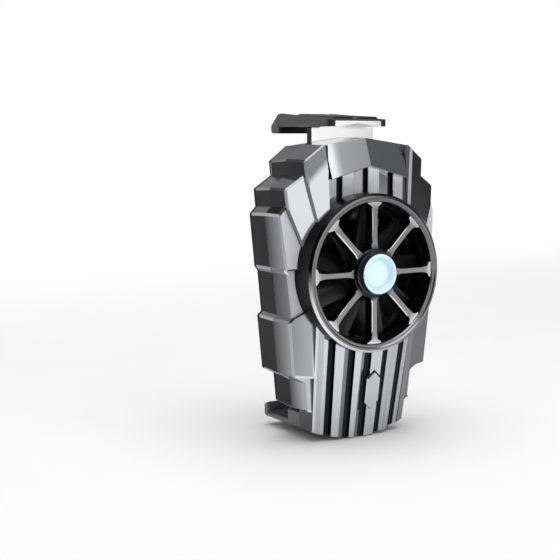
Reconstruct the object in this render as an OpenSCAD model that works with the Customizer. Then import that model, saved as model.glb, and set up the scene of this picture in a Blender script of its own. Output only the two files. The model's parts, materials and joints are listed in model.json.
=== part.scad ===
// Clip-on phone cooling fan: stepped armour housing, ring-guarded fan, cooling stack and spring clip.
// X runs to the right, Z up. The phone's back is the plane Y = 0 and the fan faces -Y.
// The origin is where the fan's axis meets the phone's back. Depths are measured forward from there.

/* [Housing tiers] */
// Half width of the roof's flat top corners
roof_half_w = 12.6; // [11.8:0.1:13.4]
// Height of the roof's middle crest above the fan axis
roof_crest_z = 32.1; // [31.4:0.1:33]
// Height of the roof's corners above the fan axis
roof_corner_z = 30.4; // [29.8:0.1:31]
// Half width of the first tier's shoulder
tier1_half_w = 17.4; // [16.8:0.1:18.4]
// Half width of the second tier's shoulder
tier2_half_w = 21.8; // [20.8:0.1:22.4]
// Half width of the third and widest tier's shoulder
tier3_half_w = 23; // [22.6:0.1:25]
// Half width of the recessed waist tier
waist_half_w = 20.9; // [20.3:0.1:21.6]
// Half width of the fifth tier's shoulder
tier5_half_w = 21; // [20.4:0.1:22]
// Half width of the sixth tier's shoulder
tier6_half_w = 16.4; // [15.8:0.1:17.4]
// Half width of the chin
chin_half_w = 12.9; // [12.6:0.1:13.4]
// How far a tier's side draws in for each millimetre down
side_lean = 0.1; // [0.06:0.01:0.14]
// Depth of the parting plane between front and rear shell
parting_depth = 8; // [7.6:0.1:8.4]
// Share of the outline left where the shells' draft ends
draft_scale = 0.985; // [0.975:0.005:1]
// Thickness of the shells' walls
shell_wall = 1.6; // [1.2:0.1:1.8]

/* [Fan] */
// Outer radius of the ring bezel
ring_r = 18.9; // [18.6:0.1:19.1]
// Wall of the bezel's skirt
ring_wall = 2; // [1.6:0.1:2.2]
// Depth of the bezel's front rim
ring_front_depth = 20.9; // [20.4:0.1:21.6]
// Radius of the guard's boss in the middle
boss_r = 5.9; // [5.5:0.1:6.3]
// Number of guard vanes
vane_count = 8; // [6:1:10]
// Thickness of a guard vane
vane_t = 1.1; // [0.9:0.1:1.5]
// Radius of the lit hub lens
lens_r = 4.8; // [4.4:0.1:5.1]
// How far the hub lens stands in front of the guard
lens_proud = 2.4; // [2:0.1:3.2]
// Radius of the rotor at its blade tips
rotor_r = 15.9; // [15:0.1:16.1]
// Radius of the rotor's hub
rotor_hub_r = 6.4; // [6.2:0.1:7]
// Number of rotor blades
blade_count = 9; // [7:1:11]
// Radius of the rotor's shaft
shaft_r = 0.75; // [0.6:0.05:0.9]

/* [Cooling stack] */
// Width of the cold plate
cold_plate_w = 30; // [28:0.5:31]
// Height of the cold plate
cold_plate_h = 21; // [18:0.5:21]
// Side of the square thermoelectric module
module_side = 20; // [16:0.5:21]
// Thickness of the thermoelectric module
module_t = 3; // [2.6:0.1:3.2]
// Width of the heat sink
sink_w = 32; // [30:0.5:32]
// Number of heat sink fins
fin_count = 13; // [9:1:15]
// Thickness of a fin
fin_t = 0.8; // [0.6:0.1:1]

/* [Clip] */
// Gap between the roof's crest and the hook at the photographed place
hook_rest_gap = 2.65; // [2.5:0.05:3.6]
// Height of the jaw under its pad
jaw_t = 2.95; // [2.8:0.05:3.2]
// Thickness of phone that the hook and the jaw reach round
phone_t = 8.6; // [7.6:0.1:10]
// Half width of the sliding arm
arm_half_w = 9.1; // [8.4:0.1:9.6]
// Thickness of the sliding arm
arm_t = 2; // [1.8:0.1:2.2]
// Depth of the sliding arm's front face
arm_front_depth = 6.8; // [6.5:0.1:6.9]
// Upward travel of the arm from the photographed place
clip_up = 9; // [6:0.5:9]
// Downward travel of the arm from the photographed place
clip_down = 2; // [1:0.5:2]
// Reach of the finger tab in front of the phone's back
tab_front_depth = 11.6; // [10.5:0.1:12.4]
// Thickness of the rubber pads on hook and jaw
pad_t = 0.8; // [0.6:0.1:1]
// Number of turns in a clip spring
spring_turns = 11; // [8:1:12]

/* [Controls] */
// Height of the six-sided power button
button_h = 10.2; // [8.6:0.1:10.8]
// Width of the six-sided power button
button_w = 4.1; // [3.7:0.1:4.3]
// Travel of the power button
button_travel = 0.5; // [0.3:0.05:0.6]
// Width of a dark groove
groove_w = 1.5; // [1.2:0.1:1.8]
// Depth of a dark groove
groove_d = 1.6; // [1.2:0.1:1.8]

/* [Hidden] */
$fn = 64;

// Clearances
fit_gap = 0.05;
slide_gap = 0.15;
run_gap = 0.03;
seam_gap = 0.02;

// Lowest point of the chin, height where the chin begins, and the rear shell's floor above the jaw
chin_low_z = -40.5;
chin_h = 6.3;
chin_round_r = 38.3;
chin_z = chin_low_z + chin_h;
jaw_top_z = chin_z - 0.6;
floor_z = jaw_top_z + seam_gap;
floor_inner_z = floor_z + shell_wall;

// Armour tiers from the top down, for the right half:
// shoulder half width, shoulder height, foot height, edge depth, lean inwards, lean downwards, inner foot
tiers = [
    [tier1_half_w, 26.8, 23.3, 16.2, 0.15, 0.06, [14.4, 12.6]],
    [tier2_half_w, 20.2, 15.9, 14.7, 0.17, 0.06, [17.2, 5.3]],
    [tier3_half_w, 14.2, 1.3, 13.8, 0.15, 0.08, [16, 1.3]],
    [waist_half_w, 0.3, -9.8, 14.2, 0.15, 0.03, [15.6, -7.8]],
    [tier5_half_w, -10.8, chin_z + 10.2, 15.2, 0.15, -0.05, [12.4, chin_z + 9.2]],
    [tier6_half_w, chin_z + 8.5, chin_z + 1.6, 13.8, 0.15, -0.06, [chin_half_w - 1, chin_z]]
];
reach = 60;

// Depths of the stack, forward from the phone's back
pad_depth = 0.8;
back_wall = 1.4;
back_inner = pad_depth + back_wall;
cold_plate_t = 1.5;
module_front = cold_plate_t + module_t;
sink_base_t = 1.2;
sink_front = module_front + sink_base_t;
fin_h = 3.4;
frame_back = sink_front + fin_h + 0.3;
cavity_front = 12.2;
ledge_t = 1;
ring_seat = cavity_front + ledge_t;

function foot_x(i) = tiers[i][0] - side_lean * (tiers[i][1] - tiers[i][2]);

// Right half of the outline from the crest down to the chin, drawn in by inset
function half_outline(inset) = concat(
    [[0, roof_crest_z - inset], [roof_half_w - inset * 0.5, roof_corner_z - inset]],
    [for (i = [0:len(tiers) - 1]) each [
        [tiers[i][0] - inset, tiers[i][1] - sign(tiers[i][1]) * inset * 0.5],
        [foot_x(i) - inset, tiers[i][2] - sign(tiers[i][2]) * inset * 0.5]]],
    [[chin_half_w - inset, chin_z + inset * 0.5], [chin_half_w - inset, -reach]]);

function mirrored(points) = [for (i = [len(points) - 1:-1:0]) [-points[i][0], points[i][1]]];

// Extrudes an X-Z profile between two depths
module slab(d0, d1)
    translate([0, -d0, 0]) rotate([90, 0, 0]) linear_extrude(d1 - d0) children();

// Round bar along the depth axis
module post(x, z, r, d0, d1)
    translate([x, -d0, z]) rotate([90, 0, 0]) cylinder(r = r, h = d1 - d0);

// Block given by its half width, heights and depths
module block(half_w, z0, z1, d0, d1)
    translate([-half_w, -d1, z0]) cube([2 * half_w, d1 - d0, z1 - z0]);

module both_sides() {
    children();
    mirror([1, 0, 0]) children();
}

// Everything behind a front plane through one point, which comes forward inwards and downwards
module behind_plane(x, d, z, lean_in, lean_down)
    translate([x, -d, z])
        rotate([-atan(lean_down / sqrt(1 + lean_in * lean_in)), 0, atan(lean_in)])
            translate([-reach, 0, -reach]) cube([2 * reach, reach, 2 * reach]);

// Circle whose lowest part rounds the chin
module chin_circle(inset)
    translate([0, chin_low_z + chin_round_r]) circle(r = chin_round_r - inset, $fn = 128);

// The housing's full outline with its round chin
module outline(inset)
    intersection() {
        polygon(concat(half_outline(inset), mirrored(half_outline(inset))));
        union() {
            chin_circle(inset);
            translate([-reach, chin_low_z + chin_round_r]) square([2 * reach, reach]);
        }
    }

// Housing shells

// Draws a profile forward from the parting plane, or back from it, with the mould's draft
module drafted(height, back)
    translate([0, -parting_depth, 0])
        rotate([back ? -90 : 90, 0, 0])
            mirror([0, back ? 1 : 0, 0])
                linear_extrude(height, scale = draft_scale) children();

// Front view of one armour tier's right half
function tier_crest(i) = i == 0 ? [roof_half_w, roof_corner_z] : [foot_x(i - 1), tiers[i - 1][2]];
function tier_top_x(i) = i < 3 ? panel_half_w : chin_half_w - 1;
module tier_profile(i)
    polygon([tier_crest(i), [tiers[i][0], tiers[i][1]], [foot_x(i), tiers[i][2]], tiers[i][6],
        [tier_top_x(i), tiers[i][6][1]],
        [tier_top_x(i), i == 4 ? tiers[3][6][1] : tier_crest(i)[1]],
        if (i == 4) tiers[3][6]]);

module tier(i)
    intersection() {
        drafted(front_run, false) tier_profile(i);
        behind_plane(tiers[i][0], tiers[i][3], tiers[i][1], tiers[i][4], tiers[i][5]);
    }

// Two forehead facets that meet in a ridge and jut out over the ribs below
panel_half_w = 11;
forehead_top_depth = 16;
forehead_lean_in = 0.1;
forehead_lean_down = 0.36;
forehead_low_mid_z = 25.5;
forehead_low_side_z = 22.4;
front_run = 16;
module forehead()
    intersection() {
        drafted(front_run, false)
            polygon([[0, roof_crest_z], [roof_half_w, roof_corner_z], [panel_half_w, roof_corner_z - 2.5],
                [panel_half_w, forehead_low_side_z], [0, forehead_low_mid_z]]);
        behind_plane(0, forehead_top_depth, roof_crest_z, forehead_lean_in, forehead_lean_down);
    }

// Narrow joint line between the forehead and the first tier's panel beside it
seam_line_w = 0.6;
seam_line_d = 1.3;
module forehead_seam()
    difference() {
        translate([panel_half_w - seam_line_w / 2, -reach, ring_r * 0.5]) cube([seam_line_w, reach, reach]);
        behind_plane(tiers[0][0], tiers[0][3] - seam_line_d, tiers[0][1], tiers[0][4], tiers[0][5]);
    }

// Ridged ribs between the forehead and the ring
rib_pitch = 7.4;
rib_depth = 16;
rib_ridge = 0.7;
module rib_panel()
    translate([0, 0, ring_r * 0.5]) linear_extrude(roof_corner_z - ring_r * 0.5 - 2)
        polygon(concat(
            [[-panel_half_w, -parting_depth], [-panel_half_w, -rib_depth]],
            [for (i = [-1:1]) each [[i * rib_pitch, -rib_depth],
                [min((i + 0.5) * rib_pitch, panel_half_w - 0.2), -rib_depth - rib_ridge]]],
            [[panel_half_w, -rib_depth], [panel_half_w, -parting_depth]]));

// Fluted panel below the ring: flat ribs on a bowed front that leans back towards the chin.
// Its grooves draw together downwards, and each has a bevel on its outer side.
flute_at = [-10.6, -5, 0, 5, 10.6];
flute_top_depth = 19.8;
flute_tilt = 9.25;
flute_bow_r = 55;
flute_focus = 245;
flute_top_z = -10;
flute_mid = -19;
flute_half_w = 15.1;
flute_low_half_w = 13.3;
flute_bevel = 1.5;
flute_bevel_d = 0.6;
function flute_sag(x) = x * x / (2 * flute_bow_r);
flute_bends = concat([-flute_half_w - 1], [for (x = flute_at) x * (1 + flute_mid / flute_focus)],
    [flute_half_w + 1]);
function flute_slope(i) = (flute_sag(flute_bends[i + 1]) - flute_sag(flute_bends[i]))
    / (flute_bends[i + 1] - flute_bends[i]);
module flute_frame()
    translate([0, -flute_top_depth, flute_top_z]) rotate([flute_tilt, 0, 0]) children();

module flute_front()
    polygon([[-flute_half_w, flute_top_z + groove_over], [flute_half_w, flute_top_z + groove_over],
        [flute_low_half_w, chin_low_z], [-flute_low_half_w, chin_low_z]]);

module flute_panel()
    intersection() {
        slab(parting_depth, reach)
            intersection() {
                flute_front();
                chin_circle(0);
            }
        difference() {
            flute_frame() translate([0, 0, -reach]) linear_extrude(2 * reach)
                polygon(concat([for (x = flute_bends) [x, flute_sag(x)]],
                    [[flute_half_w + 1, reach], [-flute_half_w - 1, reach]]));
            for (i = [0:len(flute_at) - 1]) flute_bevel_cut(i, flute_at[i] > 0 ? 1 : -1);
        }
    }

module flute_bevel_cut(i, side) {
    inner = side * groove_w / 2;
    outer = side * (groove_w / 2 + flute_bevel);
    slope = flute_slope(side > 0 ? i + 1 : i);
    groove_frame(flute_at[i]) translate([0, 0, -reach]) linear_extrude(2 * reach)
        polygon([[inner, slope * inner + flute_bevel_d], [outer, slope * outer], [outer, -groove_d],
            [inner, -groove_d]]);
}

// Groove cutters, wider or narrower by grow, from the groove's floor forward
module upper_grooves(grow, floor_d, front_d)
    for (i = [-1:1])
        translate([i * rib_pitch - groove_w / 2 - grow, -rib_depth - front_d, ring_r * 0.5])
            cube([groove_w + 2 * grow, front_d + floor_d, roof_corner_z - 3 - ring_r * 0.5]);

groove_over = 4;
module groove_frame(x)
    flute_frame() translate([x, flute_sag(x), 0]) rotate([0, asin(x / flute_focus), 0]) children();

module groove_strip(grow)
    translate([-groove_w / 2 - grow, -reach]) square([groove_w + 2 * grow, reach + groove_over]);

// The middle groove steps aside round the button
module groove_line(x, grow)
    if (x != 0) groove_strip(grow);
    else difference() {
        union() {
            groove_strip(grow);
            button_outline(groove_w + grow);
        }
        button_outline(-grow);
        translate([groove_w / 2 + grow, button_mid - button_h]) square([reach, 2 * button_h]);
    }

module lower_grooves(grow, floor_d, front_d)
    for (x = flute_at)
        groove_frame(x) translate([0, floor_d, 0]) rotate([90, 0, 0]) linear_extrude(floor_d + front_d)
            groove_line(x, grow);

// Six-sided button outline in the fluted panel's own plane
button_x = 1.9;
button_mid = flute_mid;
button_slant = 1.8;
module button_outline(grow)
    translate([button_x, button_mid])
        polygon([for (s = [[0, 1], [1, 1], [1, -1], [0, -1], [-1, -1], [-1, 1]])
            [s[0] * (button_w / 2 + grow), s[1] * (button_h / 2 - abs(s[0]) * button_slant + grow)]]);

module button_prism(grow, floor_d, front_d)
    flute_frame() translate([0, floor_d, 0]) rotate([90, 0, 0]) linear_extrude(floor_d + front_d)
        button_outline(grow);

// Places of the screws
case_screw_at = [[17, 17.4], [14.6, -22.2]];
fan_ear_angles = [60, 120, 270];
fan_ear_r = 21.2;
frame_room = 0.3;
fan_pilot_d = 1.8;
jaw_screw_x = 8;
jaw_screw_depth = 4.4;
case_boss_r = 2.1;
pilot_r = 0.7;
screw_r = 0.65;
head_r = 1.4;
head_t = 0.8;

module front_shell()
    color("silver") difference() {
        union() {
            both_sides() for (i = [0:len(tiers) - 1]) tier(i);
            both_sides() forehead();
            difference() {
                rib_panel();
                upper_grooves(0, groove_d, 3);
            }
            flute_panel();
        }
        difference() {
            slab(parting_depth - 1, cavity_front) intersection() {
                outline(shell_wall);
                translate([-reach, chin_z - shell_wall]) square(2 * reach);
            }
            both_sides() for (p = case_screw_at)
                post(p[0], p[1], case_boss_r, parting_depth, cavity_front + 1);
        }
        both_sides() for (p = case_screw_at) post(p[0], p[1], pilot_r, 0, cavity_front + 1);
        post(0, 0, frame_ring_r + frame_room, parting_depth - 1, cavity_front);
        for (a = fan_ear_angles) {
            post(fan_ear_r * cos(a), fan_ear_r * sin(a), pilot_r, 0, cavity_front + fan_pilot_d);
            post(fan_ear_r * cos(a), fan_ear_r * sin(a), ear_r + frame_room, parting_depth - 1, cavity_front);
        }
        post(0, 0, ring_r + fit_gap, ring_seat, reach);
        post(0, 0, bezel_inner_r + fit_gap, parting_depth, reach);
        both_sides() forehead_seam();
        lower_grooves(0, groove_d, 3);
        button_prism(0, reach, 3);
        button_prism(button_flange + 0.1, reach, -button_shelf);
        socket_bar(socket_w + 0.2, socket_h + 0.2, chin_low_z - 1, chin_z);
        both_sides() exhaust_slot(parting_depth + 1, cavity_front);
    }

// Air leaves by slots in the ledge that faces down above the sixth tier
exhaust_x = 17.2;
exhaust_w = 1.6;
module exhaust_slot(d0, d1)
    translate([exhaust_x, -d1, tiers[5][1] - 1]) cube([exhaust_w, d1 - d0, 5]);

module rear_shell()
    color("dimgray") difference() {
        union() {
            difference() {
                drafted(parting_depth - pad_depth - seam_gap, true) intersection() {
                    outline(0);
                    translate([-reach, floor_z]) square(2 * reach);
                }
                slab(back_inner, parting_depth + 1) intersection() {
                    outline(shell_wall);
                    translate([-reach, floor_inner_z]) square(2 * reach);
                }
                both_sides() exhaust_slot(back_inner + 1, parting_depth - 1);
            }
            both_sides() for (p = case_screw_at)
                post(p[0], p[1], case_boss_r, back_inner - 0.1, parting_depth - seam_gap);
            sink_screw_posts(head_r, back_inner - 0.1, module_front - seam_gap);
            both_sides() {
                post(board_post_x, board_post_z, head_r, back_inner - 0.1, board_back - seam_gap);
                post(board_post_x, board_post_z, pilot_r, back_inner, board_front + 0.4);
                rod_seat(rod_seat_low_z, rod_seat_top_z);
                rod_seat(spring_top_z, roof_corner_z - 0.8);
            }
        }
        plate(cold_plate_w / 2 + slide_gap, cold_plate_h + 2 * slide_gap, 0, back_inner + 1);
        both_sides() for (p = case_screw_at) {
            post(p[0], p[1], screw_r + slide_gap, 0, reach);
            post(p[0], p[1], head_r + slide_gap, 0, pad_depth + head_t + seam_gap);
        }
        sink_screw_posts(pilot_r, back_inner + 0.2, reach);
        both_sides() translate([rod_x, -arm_mid_depth, rod_seat_low_z + 0.2])
            cylinder(r = rod_r + seam_gap, h = spring_top_z + 0.8 - rod_seat_low_z);
        block(arm_half_w + slide_gap, spring_top_z - 4, reach, arm_back_depth - slide_gap,
            arm_front_depth + slide_gap);
        both_sides() translate([jaw_screw_x, -jaw_screw_depth, -reach])
            cylinder(r = screw_r + slide_gap, h = reach);
    }

// Seat for a guide rod, standing on the back wall
rod_seat_half = 1.7;
module rod_seat(z0, z1)
    translate([rod_x - rod_seat_half, -arm_mid_depth - rod_seat_half, z0])
        cube([2 * rod_seat_half, arm_mid_depth + rod_seat_half - back_inner + 0.1, z1 - z0]);

// Lower jaw under the phone
jaw_lip_t = 1.4;
jaw_floor_z = chin_low_z + jaw_t;
phone_low = -jaw_floor_z - pad_t;
jaw_half_w = chin_half_w - 0.5;
jaw_toe = 1.6;
jaw_toe_rise = 2;
module jaw_profile()
    polygon([[parting_depth - seam_gap, chin_low_z - 1], [parting_depth - seam_gap, jaw_top_z],
        [pad_depth, jaw_top_z], [pad_depth, jaw_floor_z],
        [-phone_t, jaw_floor_z], [-phone_t, -phone_low + jaw_toe_rise],
        [-phone_t - jaw_toe, -phone_low + jaw_toe_rise - 0.6],
        [-phone_t - jaw_toe, jaw_floor_z - jaw_lip_t + 0.8],
        [-phone_t - jaw_toe + 0.8, jaw_floor_z - jaw_lip_t], [0, chin_low_z + 0.4], [1, chin_low_z - 1]]);

module lower_jaw()
    color("gray") difference() {
        intersection() {
            rotate([90, 0, 90]) translate([0, 0, -jaw_half_w]) linear_extrude(2 * jaw_half_w)
                mirror([1, 0]) jaw_profile();
            slab(-reach, reach) chin_circle(0);
        }
        both_sides() translate([jaw_screw_x, -jaw_screw_depth, jaw_floor_z - 0.3])
            cylinder(r = pilot_r, h = reach);
    }

module jaw_pad()
    color("black") translate([-jaw_half_w + 1, 0.3, jaw_floor_z])
        cube([2 * jaw_half_w - 2, phone_t - 0.6, pad_t - seam_gap]);

// Cooling stack behind the fan
stack_mid_z = -5.5;
sink_h = 28;
module plate(half_w, h, d0, d1)
    block(half_w, stack_mid_z - h / 2, stack_mid_z + h / 2, d0, d1);

module back_pad()
    color("black") difference() {
        slab(0, pad_depth - seam_gap) intersection() {
            scale(draft_scale) outline(0);
            translate([-reach, chin_z - 0.4]) square(2 * reach);
        }
        plate(cold_plate_w / 2 + slide_gap, cold_plate_h + 2 * slide_gap, -1, 2);
    }

module cold_plate()
    color("gainsboro") plate(cold_plate_w / 2, cold_plate_h, 0, cold_plate_t - seam_gap);

module thermoelectric_module()
    color("white") {
        plate(module_side / 2, module_side, cold_plate_t, cold_plate_t + 0.7);
        plate(module_side / 2 - 0.8, module_side - 1.6, cold_plate_t + 0.7, module_front - 0.7);
        plate(module_side / 2, module_side, module_front - 0.7, module_front - seam_gap);
    }

sink_screw_x = 13.6;
sink_screw_dz = 12.2;
fin_pitch = (sink_w - fin_t) / (fin_count - 1);
module sink_screw_posts(r, d0, d1)
    for (x = [-1, 1], z = [-1, 1]) post(x * sink_screw_x, stack_mid_z + z * sink_screw_dz, r, d0, d1);

module heat_sink()
    color("lightgray") difference() {
        union() {
            plate(sink_w / 2, sink_h, module_front, sink_front);
            for (i = [0:fin_count - 1])
                translate([-sink_w / 2 + i * fin_pitch, -sink_front - fin_h, stack_mid_z - sink_h / 2])
                    cube([fin_t, fin_h + 0.1, sink_h]);
        }
        sink_screw_posts(head_r + 0.3, sink_front, sink_front + fin_h + 1);
        sink_screw_posts(screw_r + slide_gap, 0, reach);
    }

module screw(r, head, head_h, d_tip, d_head, toward_front)
    translate([0, -d_head, 0]) rotate([toward_front ? 90 : -90, 0, 0]) {
        cylinder(r = r, h = abs(d_tip - d_head));
        translate([0, 0, -head_h]) difference() {
            cylinder(r = head, h = head_h);
            translate([0, 0, -0.1]) cylinder(r = head * 0.5, h = head_h * 0.6, $fn = 6);
        }
    }

module heat_sink_screws()
    color("silver") for (x = [-1, 1], z = [-1, 1])
        translate([x * sink_screw_x, 0, stack_mid_z + z * sink_screw_dz])
            screw(screw_r, head_r, head_t, back_inner + 0.4, sink_front, false);

// Fan, guard and lamp, drawn with the fan's axis along the depth
bezel_inner_r = ring_r - ring_wall;
guard_sink = 0.7;
guard_t = 2.8;
guard_front = ring_front_depth - guard_sink;
guard_seat = guard_front - guard_t;
guard_ledge = 0.7;
module turned() rotate([90, 0, 0]) rotate_extrude($fn = 96) children();
module tube(r_out, r_in, d0, d1)
    difference() {
        post(0, 0, r_out, d0, d1);
        post(0, 0, r_in, d0 - 1, d1 + 1);
    }

module fan_bezel()
    color("black") turned() polygon([
        [bezel_inner_r, ring_seat + seam_gap], [ring_r, ring_seat + seam_gap],
        [ring_r, ring_front_depth - 0.7], [ring_r - 0.6, ring_front_depth - 0.1],
        [ring_r - 1, ring_front_depth], [ring_r - 1.3, ring_front_depth - 0.3],
        [bezel_inner_r + 0.2, ring_front_depth - 0.3], [bezel_inner_r, ring_front_depth - 0.6],
        [bezel_inner_r, guard_seat], [bezel_inner_r - guard_ledge, guard_seat],
        [bezel_inner_r - guard_ledge, guard_seat - 0.5], [bezel_inner_r, guard_seat - 1.2]]);

vane_foot = 2;
module vane_profile()
    polygon([[boss_r - 0.4, vane_t * 1.1], [boss_r + 0.5, vane_t * 0.95], [boss_r + 1.1, vane_t * 0.64],
        [boss_r + 2.2, vane_t / 2], [bezel_inner_r - 3.6, vane_t / 2],
        [bezel_inner_r - 2, vane_t * 0.62], [bezel_inner_r - 1.1, vane_t], [bezel_inner_r - 0.5, vane_foot],
        [bezel_inner_r + 1, vane_foot], [bezel_inner_r + 1, -vane_foot], [bezel_inner_r - 0.5, -vane_foot],
        [bezel_inner_r - 1.1, -vane_t], [bezel_inner_r - 2, -vane_t * 0.62],
        [bezel_inner_r - 3.6, -vane_t / 2], [boss_r + 2.2, -vane_t / 2], [boss_r + 1.1, -vane_t * 0.64],
        [boss_r + 0.5, -vane_t * 0.95], [boss_r - 0.4, -vane_t * 1.1]]);

lamp_pocket_d = 1.2;
lamp_pocket = guard_front - lamp_pocket_d;
lens_front_depth = guard_front + lens_proud;
module guard_spider()
    color("silver") difference() {
        slab(guard_seat + seam_gap, guard_front) intersection() {
            circle(r = bezel_inner_r - fit_gap);
            union() {
                circle(r = boss_r);
                for (i = [0:vane_count - 1]) rotate(90 + i * 360 / vane_count) vane_profile();
            }
        }
        post(0, 0, lens_r + 0.3 + fit_gap, lamp_pocket, reach);
    }

led_board_t = 0.6;
led_t = 0.5;
led_count = 4;
module led_board()
    color("seagreen") {
        post(0, 0, lens_r + 0.3, lamp_pocket + seam_gap, lamp_pocket + led_board_t);
        for (i = [0:led_count - 1]) rotate([0, i * 360 / led_count, 0])
            translate([1.6, -lamp_pocket - led_board_t - led_t, -0.6]) cube([1.2, led_t + 0.1, 1.2]);
    }

lens_back = lamp_pocket + led_board_t + seam_gap;
lens_hollow = lens_back + led_t + 0.3;
lens_floor = lens_hollow + 0.75;
dish_r = 3;
// Dished cap: a raised rim round a sunken, slightly crowned disc
module hub_lens()
    color("aliceblue") turned() polygon([
        [lens_r - 0.6, lens_back], [lens_r + 0.3, lens_back], [lens_r + 0.3, guard_front],
        [lens_r, guard_front + 0.2], [lens_r, lens_front_depth - 0.5], [lens_r - 0.2, lens_front_depth - 0.1],
        [lens_r - 0.4, lens_front_depth], [lens_r - 0.6, lens_front_depth - 0.1],
        [lens_r - 0.8, lens_front_depth - 0.4], [dish_r + 0.3, lens_floor + 0.2], [dish_r, lens_floor],
        [0, lens_floor + 0.15], [0, lens_hollow], [lens_r - 0.6, lens_hollow]]);

motor_plate_t = 0.8;
sleeve_r = 1.7;
tube_wall = 0.6;
frame_ring_r = 18.3;
frame_ring_in = 16.4;
strut_w = 2.2;
ear_r = 1.9;
ear_t = 1.2;
strut_angles = [15, 105, 195, 285];
strut_root = 1;
strut_tip = 0.8;
strut_shy = 0.05;
sleeve_floor = 0.5;
sleeve_len = 4;
sleeve_back = frame_back + sleeve_floor;
sleeve_front = sleeve_back + sleeve_len;
module fan_frame()
    color("black") difference() {
        union() {
            tube(frame_ring_r, frame_ring_in, frame_back, cavity_front - seam_gap);
            post(0, 0, rotor_hub_r + 0.2, frame_back, frame_back + motor_plate_t);
            post(0, 0, sleeve_r + tube_wall, frame_back, sleeve_front);
            for (a = strut_angles) rotate([0, a, 0])
                translate([rotor_hub_r - strut_root, -frame_back - motor_plate_t + strut_shy, -strut_w / 2])
                    cube([frame_ring_in + strut_tip - rotor_hub_r + strut_root, motor_plate_t - 2 * strut_shy,
                        strut_w]);
            for (a = fan_ear_angles) {
                post(fan_ear_r * cos(a), fan_ear_r * sin(a), ear_r, cavity_front - ear_t,
                    cavity_front - seam_gap);
                rotate([0, -a, 0]) translate([frame_ring_r - 0.6, -cavity_front + 2 * seam_gap, -ear_r * 0.8])
                    cube([fan_ear_r - frame_ring_r + 0.6, ear_t - 3 * seam_gap, ear_r * 1.6]);
            }
        }
        for (a = fan_ear_angles) post(fan_ear_r * cos(a), fan_ear_r * sin(a), screw_r + slide_gap, 0, reach);
        post(0, 0, sleeve_r, sleeve_back, reach);
    }

module fan_screws()
    color("silver") for (a = fan_ear_angles)
        translate([fan_ear_r * cos(a), 0, fan_ear_r * sin(a)])
            screw(screw_r, head_r, head_t, cavity_front + fan_pilot_d - 0.2, cavity_front - ear_t - seam_gap,
                true);

module bearing_sleeve()
    color("goldenrod") tube(sleeve_r - seam_gap, shaft_r + run_gap, sleeve_back + seam_gap, sleeve_front);

rotor_lift = 1.5;
rotor_clear = 1;
rotor_back = frame_back + rotor_lift;
rotor_front = guard_seat - rotor_clear;
rotor_wall = 0.8;
hub_boss_r = 1.6;
magnet_t = 0.8;
magnet_inset = 0.2;
magnet_r = rotor_hub_r - rotor_wall - seam_gap;
stator_sink = 0.4;
stator_t = 3.2;
stator_back = rotor_back - stator_sink;
stator_front = stator_back + stator_t;
stator_gap = 0.3;
stator_r = magnet_r - magnet_t - stator_gap;
stator_core = 0.7;
shoe_t = 0.6;
shoe_inset = 0.3;
pole_count = 4;
pole_w = 1.6;
module stator()
    color("peru") difference() {
        union() {
            post(0, 0, sleeve_r + tube_wall + stator_core, stator_back, stator_front);
            intersection() {
                post(0, 0, stator_r, stator_back, stator_front);
                for (i = [0:pole_count - 1]) rotate([0, i * 360 / pole_count, 0]) {
                    block(pole_w / 2, 0, reach, stator_back, stator_front);
                    block(pole_w * 0.9, stator_r - shoe_t, reach, stator_back + shoe_inset,
                        stator_front - shoe_inset);
                }
            }
        }
        post(0, 0, sleeve_r + tube_wall + seam_gap, 0, reach);
    }

shaft_back = sleeve_back + 0.2;
module rotor_shaft()
    color("lightgray") post(0, 0, shaft_r, shaft_back, rotor_front - rotor_wall);

module magnet_ring()
    color("dimgray") tube(magnet_r, magnet_r - magnet_t, rotor_back + magnet_inset,
        rotor_front - rotor_wall - magnet_inset);

blade_t = 0.7;
blade_pitch = 40;
blade_camber_r = 14;
blade_chord = 7.6;
module blade()
    intersection() {
        rotate([90, 0, 0]) difference() {
            translate([0, 0, rotor_back + 0.2]) cylinder(r = rotor_r, h = rotor_front - rotor_back - 0.4);
            cylinder(r = rotor_hub_r - 0.2, h = reach);
        }
        translate([rotor_hub_r - 1, -(rotor_back + rotor_front) / 2, 0])
            rotate([blade_pitch, 0, 0]) intersection() {
                translate([0, blade_camber_r, 0]) rotate([0, 90, 0]) difference() {
                    rotate(90) cylinder(r = blade_camber_r + blade_t / 2, h = rotor_r);
                    translate([0, 0, -1]) rotate(90)
                        cylinder(r = blade_camber_r - blade_t / 2, h = rotor_r + 2);
                }
                translate([-1, -blade_t, -blade_chord / 2]) cube([rotor_r + 2, 4 * blade_t, blade_chord]);
            }
    }

module rotor()
    color("black") {
        difference() {
            union() {
                tube(rotor_hub_r, rotor_hub_r - rotor_wall, rotor_back, rotor_front);
                post(0, 0, rotor_hub_r - 0.2, rotor_front - rotor_wall, rotor_front);
                post(0, 0, hub_boss_r, rotor_front - rotor_wall - 0.7, rotor_front - 0.1);
                for (i = [0:blade_count - 1]) rotate([0, i * 360 / blade_count, 0]) blade();
            }
            post(0, 0, shaft_r + seam_gap, 0, rotor_front - rotor_wall + seam_gap);
        }
    }

// Control board, inlet, switch and button
board_back = 6.9;
board_t = 1.1;
board_front = board_back + board_t;
board_half_w = 10.4;
board_h = 11.5;
board_shy = 0.1;
board_post_inset = 1.6;
board_low_z = floor_inner_z + board_shy;
board_top_z = board_low_z + board_h;
board_post_x = board_half_w - board_post_inset;
board_post_z = board_top_z - board_post_inset;
module circuit_board()
    color("darkgreen") difference() {
        block(board_half_w, board_low_z, board_top_z, board_back, board_front);
        both_sides() post(board_post_x, board_post_z, pilot_r + fit_gap, 0, reach);
    }

socket_w = 8.94;
socket_h = 3.26;
socket_wall = 0.3;
socket_len = 6.2;
socket_mouth_z = chin_low_z + 0.5;
socket_mid = board_front + seam_gap + socket_h / 2;
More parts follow.
